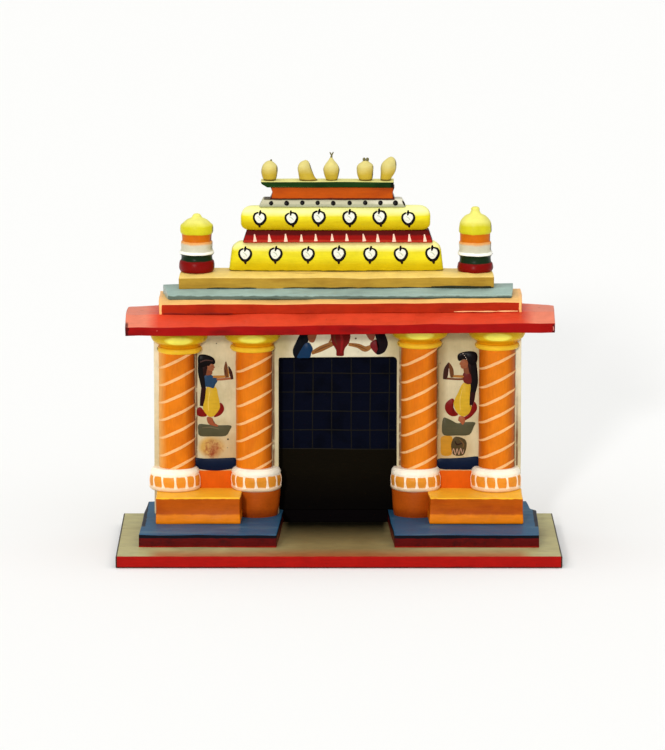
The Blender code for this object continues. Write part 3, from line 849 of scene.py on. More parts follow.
def eave_finish():
    """Deep red edge, and a brighter red slope that pales towards the ends, a painted reflection."""
    coat = Finish("eave_red", (150, 7, 4))
    middle = 0.6
    worn = coat.both(coat.patchy(0.14, 0.54, 5.0, ALONG), coat.below(coat.z, 103.4, 0.5, 0.3))
    coat.lay((112, 6, 6), worn)
    # Painted reflection: brighter red on the slope, paler past the orange board's ends
    coat.lay((212, 66, 38), coat.upward(0.8))
    coat.lay((224, 126, 98), coat.both(coat.upward(0.8), coat.outside(coat.x, middle, 85.0, 6.0, 1.0)))
    ends = coat.both(coat.outside(coat.x, 0.55, 95.6, 0.5, 0.3), coat.below(coat.z, 104.0, 0.8, 0.6))
    coat.lay((62, 8, 8), ends, 0.85)
    return coat.done(streaks=0.25, flecks=0.5, gloss=0.2)


def cornice_orange_finish():
    """Deep orange front, pale orange top partly as a painted highlight, and pale ends."""
    coat = Finish("cornice_orange", (168, 38, 5))
    middle = 0.6
    coat.lay((138, 26, 5), coat.patchy(0.14, 0.52, 4.0, (0.4, 1.0, 1.0)))
    # Pale top: painted highlight over the orange paint
    coat.lay((236, 184, 110), coat.upward(0.5))
    coat.lay((250, 190, 116), coat.outside(coat.x, middle, 80.9, 0.3, 0.4))
    corners = coat.both(coat.outside(coat.x, middle, 81.9, 0.25, 0.3), coat.below(coat.y, 0.0, 0.5))
    coat.lay((170, 92, 40), corners, 0.8)
    return coat.done()


def cornice_grey_finish():
    coat = Finish("cornice_grey", (152, 176, 166))
    coat.lay((128, 152, 146), coat.patchy(0.12, 0.5, 3.0, ALONG))
    # Darker low on the front: painted shade
    coat.lay((92, 108, 98), coat.both(coat.below(coat.y, 4.8, 0.4, 0.4), coat.below(coat.z, 114.6, 0.5, 0.5)))
    return coat.done(streaks=0.4)


def slab_finish():
    coat = Finish("slab_yellow", (178, 140, 48))
    coat.lay((154, 114, 34), coat.patchy(0.13, 0.52, 4.0, ALONG))
    # Paler top: partly its own paint, partly a painted highlight
    coat.lay((244, 212, 118), coat.upward(0.5))
    return coat.done(streaks=0.4)


def barrel_finish():
    """Lemon yellow, paler towards the top as painted light, with a dark line of painted shade at the lower barrel's
    foot.
    """
    coat = Finish("barrel_yellow", (206, 182, 14))
    # Paler towards the top: painted light
    coat.lay((222, 208, 30), coat.upward(-0.15, 5.0))
    coat.lay((248, 246, 160), coat.upward(0.25, 2.2))
    # Dark line at the lower barrel's foot: painted shade
    coat.lay((96, 78, 18), coat.below(coat.z, RIDGE + 0.6, 0.3, 0.35), 0.9)
    coat.lay((188, 158, 16), coat.both(coat.upward(-1.0, 1.0), coat.patchy(0.10, 0.52, 3.0, ALONG)), 0.4)
    return coat.done(streaks=0.2, flecks=0.1, gloss=0.18)


def neck_finish():
    coat = Finish("neck_red", (144, 11, 5))
    coat.lay((84, 5, 4), coat.past(coat.z, 139.4, 0.8, 0.3))
    coat.lay((176, 48, 26), coat.below(coat.z, 137.4, 0.4, 0.2), 0.8)
    for side in (1.0, -1.0):
        coat.lay((44, 6, 6), coat.turned_to(side, 0.5, 6.0))
    return coat.done(flecks=0.2, gloss=0.3, shine=0.04)


def course_finish():
    """Grey-white, greyer low down as painted shade, whiter to the right, with the painted shadow line of the block
    over it.
    """
    coat = Finish("course_white", (188, 184, 154))
    # Greyer low down: painted shade
    coat.lay((156, 158, 128), coat.below(coat.z, 153.6, 0.6, 0.3), 0.8)
    coat.lay((226, 222, 200), coat.both(coat.past(coat.x, 16.0, 8.0), coat.past(coat.z, 153.9, 0.5)), 0.8)
    under_block = coat.both(coat.past(coat.z, 155.5, 0.3, 0.2), coat.within(coat.x, -4.5, 29.5, 0.6))
    coat.lay((70, 58, 34), under_block, 0.9)
    return coat.done(streaks=0.25, flecks=0.2, gloss=0.24)


def block_finish():
    coat = Finish("block_orange", (182, 76, 6))
    coat.lay((160, 58, 6), coat.patchy(0.14, 0.52, 4.0, ALONG))
    coat.lay((62, 10, 8), coat.outside(coat.x, -3.0, 27.4, 0.4, 0.3))
    coat.lay((80, 22, 8), coat.below(coat.z, 156.5, 0.3, 0.2))
    return coat.done(flecks=0.2)


def top_slab_finish():
    coat = Finish("slab_green", (24, 54, 15))
    coat.lay((10, 28, 8), coat.patchy(0.16, 0.48, 4.0, (0.4, 1.0, 1.0)))
    coat.lay((8, 16, 8), coat.past(coat.x, 23.4, 0.5, 0.4))
    coat.lay((232, 226, 140), coat.upward(0.5))
    return coat.done(flecks=0.2, gloss=0.3, shine=0.04)


def turret_finish(name, bands):
    """Bands from the foot up: red, green, white rim, cream skirt, orange drum and yellow dome."""
    coat = Finish(name, (120, 10, 7))
    red_top, waist_top, skirt_top, drum_top = bands
    layers = (
        ((20, 40, 20), red_top, 0.25, 0.2),
        ((250, 250, 238), waist_top, 0.2, 0.15),
        ((202, 198, 174), waist_top + 1.3, 0.5, 0.3),
        ((224, 158, 88), skirt_top - 1.1, 1.1, 0.3),
        ((200, 104, 8), skirt_top, 0.3, 0.2),
        ((206, 198, 34), drum_top, 0.3, 0.2),
        ((226, 220, 112), drum_top + 4.6, 2.4, 0.4),
    )
    for colour, height, soft, waver in layers:
        coat.lay(colour, coat.past(coat.z, height, soft, waver))
    coat.lay((40, 30, 16), coat.right_side(), 0.85)
    return coat.done(run=(1.0, 1.0, 2.0), streaks=0.2, flecks=0.15, gloss=0.2)


def pot_finish():
    coat = Finish("pot_cream", (190, 162, 52))
    # Paler towards the top: painted light
    coat.lay((212, 198, 122), coat.past(coat.z, 169.0, 4.0, 0.8))
    coat.lay((92, 74, 30), coat.below(coat.z, 164.8, 0.4, 0.25), 0.9)
    coat.lay((120, 100, 44), coat.turned_to(-1.0, 0.84, 6.0), 0.6)
    coat.lay((48, 38, 18), coat.right_side(0.84))
    return coat.done(streaks=0.2, flecks=0.15, gloss=0.24)


STROKES = stroke_finish()
ROW_TREE = make_row_tree()


# Base, plinths, benches and porch


def make_base():
    """Base plate, two plinths and the strip between them behind the doorway."""
    plan = [(-100.0, -BASE_DEPTH), (100.0, -BASE_DEPTH), (98.9, BASE_DEPTH), (-99.6, BASE_DEPTH)]
    layers = flat_layers([(plan, 0.0), (plan, BASE_TOP)])
    belongs(loft("base_plate_board", layers, base_finish(), 0.45, 12.0), "base_paint", "base_plate")
    blue = plinth_finish()
    back = 47.5
    left = [(-90.2, -28.3), (-28.1, -29.0), (-25.5, WALL_BACK), (-25.5, back), (-88.0, back), (-89.4, 15.7)]
    right = [(25.0, -29.0), (90.2, -29.0), (90.8, 4.4), (90.8, 27.0), (88.0, 31.0), (86.8, back)]
    right += [(22.4, back), (22.4, WALL_BACK)]
    rear = [(-25.6, 28.0), (22.5, 28.0), (22.5, back), (-25.6, back)]
    boards = (
        ("plinth_left_board", "plinth_left", left, blue, 0.4, 0.35),
        ("plinth_right_board", "plinth_right", right, blue, 0.4, 0.35),
        ("plinth_rear_strip", "plinth_rear", rear, threshold_finish(), 0.3, 0.1),
    )
    for seed, (name, node, plan, coat, rounding, waver) in enumerate(boards, start=1):
        layers = flat_layers([(plan, BASE_TOP - 0.05), (plan, PLINTH_TOP)])
        belongs(loft(name, layers, coat, rounding, waver=waver, seed=seed), "plinth_paint", node)


def make_benches():
    """Benches with a slightly swelling front, and the drums under the inner rings."""
    orange = bench_finish()
    dusky = drum_finish()
    foot = PLINTH_TOP - 0.05
    swelling = ((foot, 0.5), (12.2, 0.7), (14.6, 0.35), (17.0, -0.25), (20.2, -0.2), (BENCH_TOP, 0.0))
    drum_profile = [
        (0.0, BENCH_TOP + 0.1), (DRUM_RADIUS - 0.2, BENCH_TOP + 0.1), (DRUM_RADIUS - 0.2, BENCH_TOP + 0.1),
        (DRUM_RADIUS, BENCH_TOP - 1.2), (DRUM_RADIUS - 0.3, 17.0), (DRUM_RADIUS - 0.9, 11.4),
        (DRUM_RADIUS - 1.2, foot), (DRUM_RADIUS - 1.2, foot), (0.0, foot),
    ]
    back = WALL_FRONT + 0.1
    for side, start, end, back_start, back_end, seed in (
        ("left", -83.1, -44.9, -83.1, -43.7, 4),
        ("right", 41.4, 83.6, 40.2, 83.6, 5),
    ):
        plans = []
        for height, spread in swelling:
            front = -4.7 - spread
            plan = [(start - 0.2 * spread, front), (end + 0.2 * spread, front), (back_end, back), (back_start, back)]
            plans.append((plan, height))
        block = loft(f"bench_{side}_block", flat_layers(plans), orange, 0.6, 6.0, 0.35, seed)
        belongs(block, "bench_paint", f"bench_{side}")
        axis = (COLUMNS[f"inner_{side}"][0], WALL_FRONT)
        drum = turned(f"drum_{side}_foot", drum_profile, axis, dusky, half=True, waver=0.35, seed=6)
        belongs(drum, "bench_paint", f"drum_{side}")


def make_porch():
    """One board for both walls and the lintel, with the doorway cut out of it, and the dark panel behind."""
    top = on_slope((EAVE_UNDER[0] + 0.05, EAVE_UNDER[1]))
    foot = PLINTH_TOP - 0.05
    left, right = WALL_SPAN
    door_left, door_right = DOOR_SPAN
    outline = [(left, foot), (door_left, foot), (door_left, DOOR_HEAD - 1.2), (door_left + 0.3, DOOR_HEAD)]
    outline += [(door_right - 1.5, DOOR_HEAD + 0.3), (door_right - 0.4, DOOR_HEAD - 0.3)]
    outline += [(door_right, DOOR_HEAD - 1.5), (door_right, foot)]
    outline += [(right, foot), (right, top(right)), (left, top(left))]
    layers = upright_layers(outline, WALL_FRONT, WALL_BACK)
    wall = loft("porch_wall", layers, wall_finish(), 0.3, 8.0, 0.12, 7)
    belongs(wall, "wall_paint", "wall_left", "wall_right", "lintel")
    left, right = PANEL_SPAN
    top = on_slope(PANEL_TOP)
    outline = [(left, foot), (right, foot), (right, top(right)), (left, top(left))]
    layers = upright_layers(outline, WALL_BACK - 0.05, PANEL_BACK)
    return belongs(loft("door_panel", layers, door_finish(), 0.4, waver=0.15, seed=8), "door_paint", "back_board")


def make_columns():
    """Half-round rings, shafts and capitals against the wall."""
    white_ring, orange_shaft = ring_finish(), shaft_finish()
    shafts, rings = {}, {}
    low, top = BENCH_TOP, RING_TOP
    cushion = [
        (-RING_RADIUS, top), (-2.6, top), (-1.6, top - 0.25), (-0.7, top - 1.1), (-0.35, top - 2.4), (-0.5, top - 3.1),
        (-0.15, top - 4.2), (0.0, top - 5.6), (-0.2, low + 2.2), (-0.05, low + 1.5), (-0.2, low + 0.6),
        (-0.8, low), (-0.8, low), (-RING_RADIUS, low),
    ]
    cushion = [(RING_RADIUS + inset, height) for inset, height in cushion]
    for number, (place, (ring_x, shaft_x, capital_x, neck)) in enumerate(COLUMNS.items()):
        axis = (ring_x, WALL_FRONT)
        ring = turned(f"ring_{place}_cushion", cushion, axis, white_ring, half=True, waver=0.4, seed=10 + number)
        rings[place] = belongs(ring, "ring_paint", f"ring_{place}")
        heights = [neck + 3.0] * 2 + [70.0, 50.0] + [RING_TOP - 5.5] * 2
        rod = [(SHAFT_RADIUS, height) for height in heights]
        rod = [(0.0, heights[0])] + rod + [(0.0, heights[-1])]
        axis = (shaft_x, WALL_FRONT)
        shaft = turned(
            f"shaft_{place}_rod", rod, axis, orange_shaft, half=True, parts=4, waver=0.3, seed=20 + number
        )
        shafts[place] = belongs(shaft, "shaft_paint", f"shaft_{place}")
        make_capital(place, capital_x, neck, 30 + number)
    return shafts, rings


def make_capital(place, x, neck, seed):
    """A bowl over a neck ring; heights are shares of the way from the neck up to the eave."""
    tall = on_slope(EAVE_UNDER)(x) + 0.05 - neck
    rows = [
        (-0.4, 1.0), (-0.4, 1.0), (0.0, 0.86), (-0.1, 0.68), (-0.5, 0.52), (-1.3, 0.42), (-2.5, 0.35), (-3.6, 0.29),
        (-4.0, 0.24), (-3.4, 0.20), (-3.0, 0.14), (-3.1, 0.07), (-3.6, 0.02), (-4.4, 0.0), (-4.4, 0.0),
    ]
    rows = [(CAPITAL_RADIUS + inset, share) for inset, share in rows]
    profile = [(radius, neck + share * tall) for radius, share in [(0.0, 1.0)] + rows + [(0.0, 0.0)]]
    coat = capital_finish(f"capital_yellow_{place}", x, neck)
    bowl = turned(f"capital_{place}_bowl", profile, (x, WALL_FRONT), coat, half=True, waver=0.3, seed=seed)
    belongs(bowl, "capital_paint", f"capital_{place}")


# Roof boards, crown, turrets and pots


def make_roof():
    """Four stepped boards; the front slopes back from the middle height to the top."""
    eave_back = [(97.5, 17.0), (95.4, 19.0), (72.0, WALL_BACK), (-72.0, WALL_BACK), (-95.2, 24.2), (-96.2, 22.8)]
    eave = ((-96.2, -11.4), (97.3, -11.4)), ((-96.2, -0.7), (97.3, -0.7)), eave_back
    orange = ((-81.6, -0.7), (82.8, -0.7)), ((-81.6, 3.8), (82.8, 3.8)), [(83.0, 29.5), (-81.6, 29.5)]
    grey = ((-77.4, 3.8), (78.4, 3.8)), ((-78.4, 11.0), (78.8, 11.0)), [(79.6, 23.8), (-80.0, 23.8)]
    yellow = ((-72.6, 11.0), (70.4, 11.0)), ((-72.4, 17.0), (70.3, 17.0)), [(70.0, 32.5), (-72.0, 32.5)]
    boards = (
        ("eave_board_red", "eave_board", "eave_paint", eave, EAVE_LEVELS, eave_finish(), 0.55, 0.6),
        ("cornice_orange_board", "cornice_orange", "cornice_orange_paint",
         orange, ORANGE_LEVELS, cornice_orange_finish(), 0.4, 0.6),
        ("cornice_grey_board", "cornice_grey", "cornice_grey_paint",
         grey, GREY_LEVELS, cornice_grey_finish(), 0.3, 0.5),
        ("roof_slab_yellow", "roof_slab", "roof_slab_paint", yellow, SLAB_LEVELS, slab_finish(), 0.4, 0.55),
    )
    for seed, (name, node, slot, (foot, top, back), levels, coat, rounding, waver) in enumerate(boards, start=40):
        plans = ([*foot, *back], [*foot, *back], [*top, *back])
        layers = flat_layers(zip(plans, map(on_slope, levels)))
        belongs(loft(name, layers, coat, rounding, 6.0, waver, seed), slot, node)


def pinched(rise, drop, foot_round, top_round):
    """How far a barrel's rounded foot or top draws in at a height over its foot and under its top."""
    if drop < top_round:
        return top_round - math.sqrt(max(top_round**2 - (top_round - drop) ** 2, 0.0))
    if rise < foot_round:
        return foot_round - math.sqrt(max(foot_round**2 - (foot_round - rise) ** 2, 0.0))
    return 0.0


def barrel(name, span, foot, high, top_round, foot_round, inset, coat, seed):
    """A long yellow barrel with a swelling front and rounded ends."""
    builder = bmesh.new()
    sections, levels = 88, 40
    squareness, corner_reach, swell = 0.28, 3.2, 1.5
    half_length, middle = (span[1] - span[0]) / 2, (span[0] + span[1]) / 2
    half_deep, deep_middle = (TOWER_BACK - TOWER_FRONT) / 2, (TOWER_FRONT + TOWER_BACK) / 2
    rows = []
    for level in range(levels + 1):
        share = level / levels
        z = foot + (high - foot) * share
        pinch = pinched(z - foot, high - z, foot_round, top_round) + inset * share
        reach_x, reach_y = half_length - pinch, half_deep - 0.85 * pinch + swell * math.sin(math.pi * share)
        corner = min(corner_reach, reach_y)
        row = []
        for step in range(sections):
            angle = math.tau * step / sections
            x = math.copysign(abs(math.cos(angle)) ** squareness, math.cos(angle)) * reach_x
            y = math.copysign(abs(math.sin(angle)) ** squareness, math.sin(angle)) * reach_y
            over_x, over_y = abs(x) - (reach_x - corner), abs(y) - (reach_y - corner)
            length = math.hypot(over_x, over_y)
            if over_x > 0 and over_y > 0 and length > corner:
                x = math.copysign(reach_x - corner + over_x * corner / length, x)
                y = math.copysign(reach_y - corner + over_y * corner / length, y)
            point = Vector((middle + x, deep_middle + y, z))
            row.append(builder.verts.new(point + hand_shift(point, seed, 0.35)))
        rows.append(row)
    join_rings(builder, rows)
    split_wide_faces(builder)
    return finish_mesh(name, builder, coat, 60.0)


def make_crown():
    """Two barrels with a neck between them, the dotted course, the block and the green slab."""
    yellow = barrel_finish()
    lower = barrel("barrel_lower_roll", (-49.9, 47.7), RIDGE - 0.1, 136.6, 4.6, 0.8, 1.4, yellow, 50)
    belongs(lower, "barrel_paint", "barrel_lower")
    front, back = TOWER_FRONT + 1.2, TOWER_BACK - 1.2
    foot = [(-43.6, front - 1.1), (42.8, front - 1.1), (42.8, back), (-43.6, back)]
    top = [(-41.8, front + 0.4), (41.0, front + 0.4), (41.0, back), (-41.8, back)]
    neck = loft("neck_red_band", flat_layers([(foot, 136.3), (top, 141.6)]), neck_finish(), 0.3, 6.0, 0.25, 51)
    belongs(neck, "neck_paint", "neck_red")
    upper = barrel("barrel_upper_roll", (-44.5, 41.6), 141.4, 152.6, 4.9, 3.6, 0.0, yellow, 52)
    belongs(upper, "barrel_paint", "barrel_upper")
    foot = [(-36.3, front), (30.5, front), (30.5, back), (-36.3, back)]
    top = [(-34.4, front + 0.8), (28.6, front + 0.8), (28.6, back), (-34.4, back)]
    layers = flat_layers([(foot, 152.3), (top, 156.0)])
    course = loft("dotted_course_band", layers, course_finish(), 0.5, 6.0, 0.3, 53)
    belongs(course, "course_paint", "dotted_course")
    outline = [(-31.5, 155.8), (25.5, 155.8), (24.4, 158.8), (25.4, 161.7), (-31.2, 161.7), (-30.2, 158.8)]
    block = loft("top_block_orange", upright_layers(outline, front, back), block_finish(), 0.35, 6.0, 0.3, 54)
    belongs(block, "top_block_paint", "top_block")
    outline = [(-32.6, 161.5), (24.7, 161.5), (25.0, 164.2), (-35.4, 164.2), (-35.2, 163.2)]
    layers = upright_layers(outline, TOWER_FRONT, TOWER_BACK)
    belongs(loft("top_slab_green", layers, top_slab_finish(), 0.3, 6.0, 0.25, 55), "top_slab_paint", "top_slab")
    return {"lower": lower, "neck": neck, "upper": upper, "course": course}


def make_turrets():
    """Turned corner turrets; each has its own middle, dome top, tip and heights where its bands end."""
    places = {
        "left": (-64.7, 147.8, 149.5, (128.2, 131.2, 137.0, 140.3)),
        "right": (62.1, 149.7, 152.7, (127.2, 130.8, 136.8, 140.6)),
    }
    low = RIDGE - 0.05
    for seed, (side, (x, dome, tip, bands)) in enumerate(places.items(), start=60):
        red, waist, skirt, drum = bands
        profile = [
            (0.0, tip), (1.2, tip - 0.2), (1.9, tip - 1.0), (1.9, (tip + dome) / 2 - 0.3), (2.7, dome - 0.3),
            (4.6, dome - 1.2), (6.3, dome - 2.8), (7.25, (dome + drum) / 2), (7.45, drum + 1.3), (7.2, drum + 0.2),
            (6.85, drum - 0.2), (6.8, skirt + 0.9), (6.85, skirt + 0.1), (7.3, skirt - 0.5), (7.35, skirt - 1.6),
            (7.2, waist + 2.2), (7.75, waist + 1.0), (8.0, waist + 0.35), (7.8, waist - 0.1), (7.2, waist - 0.8),
            (7.0, (waist + red) / 2), (7.2, red + 0.1), (7.75, red - 0.5), (8.1, red - 2.0),
            (8.1, low + 1.5), (7.7, low + 0.5), (7.2, low), (7.2, low), (0.0, low),
        ]
        coat = turret_finish(f"turret_bands_{side}", bands)
        piece = turned(f"turret_{side}_turning", profile, (x, TURRET_Y), coat, waver=0.35, seed=seed)
        belongs(piece, "turret_paint", f"turret_{side}")


def bead(builder, centre, radius, stretch=1.0):
    """A small round knob."""
    made = bmesh.ops.create_uvsphere(builder, u_segments=14, v_segments=9, radius=radius)
    for vert in made["verts"]:
        vert.co.z *= stretch
        vert.co += Vector(centre)


def twig(builder, start, end, thick, thin):
    """A short tapered rod between two points."""
    axis = Vector(end) - Vector(start)
    made = bmesh.ops.create_cone(builder, cap_ends=True, segments=10, radius1=thick, radius2=thin, depth=axis.length)
    turn = Vector((0.0, 0.0, 1.0)).rotation_difference(axis)
    for vert in made["verts"]:
        vert.co = turn @ vert.co + (Vector(start) + Vector(end)) / 2


def make_pots():
    """Pots thrown by hand: each height has its own reach to the left and to the right."""
    cream = pot_finish()
    steps = 36
    for number, (middle, rows) in enumerate(POTS, start=1):
        builder = bmesh.new()
        spots = curve_through(rows, 3)
        rings = []
        for height, left, right in spots:
            centre, reach = middle + (left + right) / 2, (right - left) / 2
            deep = min(reach, 3.7)
            ring = []
            for step in range(steps):
                angle = math.tau * step / steps
                out = reach * math.sin(angle), -deep * math.cos(angle)
                point = Vector((centre + out[0], POT_Y + out[1], SLAB_TOP + height))
                ring.append(builder.verts.new(point + hand_shift(point * 4, number, 0.25)))
            rings.append(ring)
        height, left, right = spots[-1]
        peak = builder.verts.new((middle + (left + right) / 2, POT_Y, SLAB_TOP + height + 0.25))
        join_rings(builder, rings, peak)
        split_wide_faces(builder)
        piece = finish_mesh(f"pot_{number}_body", builder, cream, 60.0)
        belongs(piece, "pot_paint", f"pot_{number}")


def make_pot_tips():
    """Dark tip of the first pot, forked twig of the third and twin knobs of the fourth."""
    olive = Finish("tip_olive", (112, 106, 66)).done(streaks=0.4, flecks=0.2, gloss=0.3)
    builder = bmesh.new()
    bead(builder, (-30.8, POT_Y, SLAB_TOP + 9.2), 0.5)
    fork = (-3.3, POT_Y, SLAB_TOP + 11.5)
    twig(builder, (-3.4, POT_Y, SLAB_TOP + 10.4), (-3.3, POT_Y, SLAB_TOP + 11.6), 0.55, 0.4)
    twig(builder, fork, (-4.1, POT_Y, SLAB_TOP + 12.9), 0.38, 0.25)
    twig(builder, fork, (-2.5, POT_Y, SLAB_TOP + 13.0), 0.38, 0.25)
    for x in (11.5, 13.0):
        bead(builder, (x, POT_Y, SLAB_TOP + 9.6), 0.75, 1.2)
    belongs(finish_mesh("pot_tips", builder, olive, 60.0), "pot_paint")


# Painted marks in rows


def medallion():
    """A white blob in an open black ring, with a tick on top and a tail below."""
    brush = Brush()
    angles = [math.tau * k / 14 for k in range(14)]
    blob = [(2.45 * math.cos(a), 2.5 * math.sin(a)) for a in angles]
    brush.patch(blob, shade(230, 230, 214), 0.13, 2, inner_rows=4)
    brush.stroke(((-1.1, 0.9), (0.2, 0.2), (0.9, -0.9)), (0.4, 0.8, 0.4), shade(190, 198, 176), 0.17)
    brush.stroke(((-0.9, -0.9), (0.2, -1.2)), (0.4, 0.6), shade(206, 210, 190), 0.17)
    ring = []
    for angle in map(math.radians, (80, 42, 4, -33, -70, -105, -140, -177, -214, -252)):
        spread = 2.75 + 0.2 * math.sin(angle * 3)
        ring.append((spread * math.cos(angle), spread * math.sin(angle)))
    brush.stroke(ring, (0.6, 0.95, 1.15, 1.35, 1.45, 1.35, 1.15, 1.05, 0.95, 0.7), BLACK, 0.3, 2)
    brush.stroke(((0.15, 3.5), (0.0, 2.4), (-0.25, 1.3)), (0.6, 1.2, 0.5), BLACK, 0.3, 3)
    brush.stroke(((0.1, -2.6), (0.2, -3.5), (0.35, -4.5)), (1.5, 1.35, 0.7), shade(34, 16, 8), 0.3, 3)
    return brush.done("medallion_mark", STROKES)


def single_stroke(name, path, widths, colour, height=0.14, parts=4):
    """A mark of one brush stroke."""
    brush = Brush()
    brush.stroke(path, widths, colour, height, parts)
    return brush.done(name, STROKES)


def paint_crown(crown):
    """Medallions on both barrels, teeth on the neck and dots on the white course."""
    lay_rows(
        medallion(), "barrel_paint",
        dict(name="medallions_lower", carrier=crown["lower"], count=7, start=(-42.8, 0, 131.0),
             step=(14.25, 0, 0), shake=(0.4, 0, 0.2), turn=9.0, size=0.04, seed=3),
        dict(name="medallions_upper", carrier=crown["upper"], count=6, start=(-35.6, 0, 147.9),
             step=(13.45, 0, 0), shake=(0.6, 0, 0.3), turn=9.0, size=0.06, seed=5),
    )
    path = ((-0.2, 1.0), (0.0, -0.6), (0.15, -2.3))
    lay_rows(
        single_stroke("tooth_mark", path, (0.5, 1.1, 1.8), shade(250, 208, 184)), "neck_paint",
        dict(name="neck_teeth", carrier=crown["neck"], count=12, start=(-38.4, 0, 139.0),
             step=(7.05, 0, 0), shake=(0.35, 0, 0.15), turn=5.0, size=0.08, seed=4),
    )
    brush = Brush()
    brush.patch([(1.05, 0.1), (0.4, 1.05), (-0.6, 0.85), (-1.1, 0.0), (-0.5, -1.0), (0.6, -0.95)], BLACK, 0.14)
    lay_rows(
        brush.done("dot_mark", STROKES), "course_paint",
        dict(name="course_dots", carrier=crown["course"], count=9, start=(-30.9, 0, 154.2),
             step=(7.1, 0, 0), shake=(0.3, 0, 0.12), turn=40.0, size=0.1, seed=2),
    )


def paint_columns(shafts, rings):
    """Spiral lines round the shafts and ticks round the rings."""
    reach = SHAFT_RADIUS * math.radians(84)
    path = ((-reach, -3.9), (-reach * 0.53, -2.9), (0.0, 0.0), (reach * 0.53, 2.8), (reach, 3.8))
    mark = single_stroke("spiral_mark", path, (0.6, 1.2, 1.4, 1.25, 0.6), shade(240, 184, 122), 0.16, 5)
    rows = []
    for seed, (place, low) in enumerate(zip(COLUMNS, (34.4, 32.6, 35.5, 33.4)), start=11):
        rows.append(dict(
            name=f"spiral_{place}", carrier=shafts[place], count=7, start=(0.0, 0.0, low), step=(0, 0, 8.15),
            shake=(0.2, 0, 0.25), turn=1.2, seed=seed, axis=(COLUMNS[place][1], WALL_FRONT), radius=SHAFT_RADIUS,
        ))
    lay_rows(mark, "shaft_paint", *rows)
    path = ((-0.1, 2.7), (0.0, 0.8), (0.1, -1.2), (0.2, -2.9))
    mark = single_stroke("ring_tick", path, (1.5, 0.9, 1.1, 2.1), shade(255, 232, 206), 0.16, 3)
    step = RING_RADIUS * math.radians(27)
    rows = []
    for seed, place in enumerate(COLUMNS, start=21):
        rows.append(dict(
            name=f"ticks_{place}", carrier=rings[place], count=7, start=(-3 * step, 0, 27.6), step=(step, 0, 0),
            shake=(0.5, 0, 0.1), turn=3.0, size=0.05, seed=seed, axis=(COLUMNS[place][0], WALL_FRONT),
            radius=RING_RADIUS,
        ))
    lay_rows(mark, "ring_paint", *rows)


def paint_lattice(panel):
    """Faint upright and level lines on the panel behind the doorway."""
    line, widths = shade(24, 21, 13), (0.35, 0.5, 0.45, 0.4)
    path = ((0.0, 22.0), (0.1, 7.0), (-0.1, -7.0), (0.0, -22.0))
    lay_rows(
        single_stroke("upright_line", path, widths, line, 0.1), "door_paint",
        dict(name="lattice_uprights", carrier=panel, count=6, start=(-20.6, 0, 61.6), step=(8.72, 0, 0),
             shake=(0.15, 0, 0), turn=0.4, seed=31),
    )
    path = ((-27.0, 0.0), (-9.0, 0.1), (9.0, -0.1), (27.0, 0.0))
    lay_rows(
        single_stroke("level_line", path, widths, line, 0.1), "door_paint",
        dict(name="lattice_levels", carrier=panel, count=5, start=(-0.5, 0, 39.6), step=(0, 0, 8.82),
             shake=(0, 0, 0.15), turn=0.3, seed=33),
    )


# Painted figures, drawn in millimetres from the top left corner of their panel, with y down
SKIN, SKIN_DARK, GOLD = shade(150, 88, 56), shade(104, 54, 34), shade(170, 112, 48)
HAIR, NAPE, BRAID = shade(16, 9, 9), shade(40, 18, 14), shade(40, 10, 12)
LEAF, LEAF_DARK = shade(104, 62, 34), shade(58, 28, 20)
SKIRT, HEM, NECK = shade(204, 164, 40), shade(120, 16, 12), shade(128, 72, 46)
STONE, NAVY, FLOWER = shade(80, 76, 52), shade(6, 20, 46), shade(224, 206, 186)

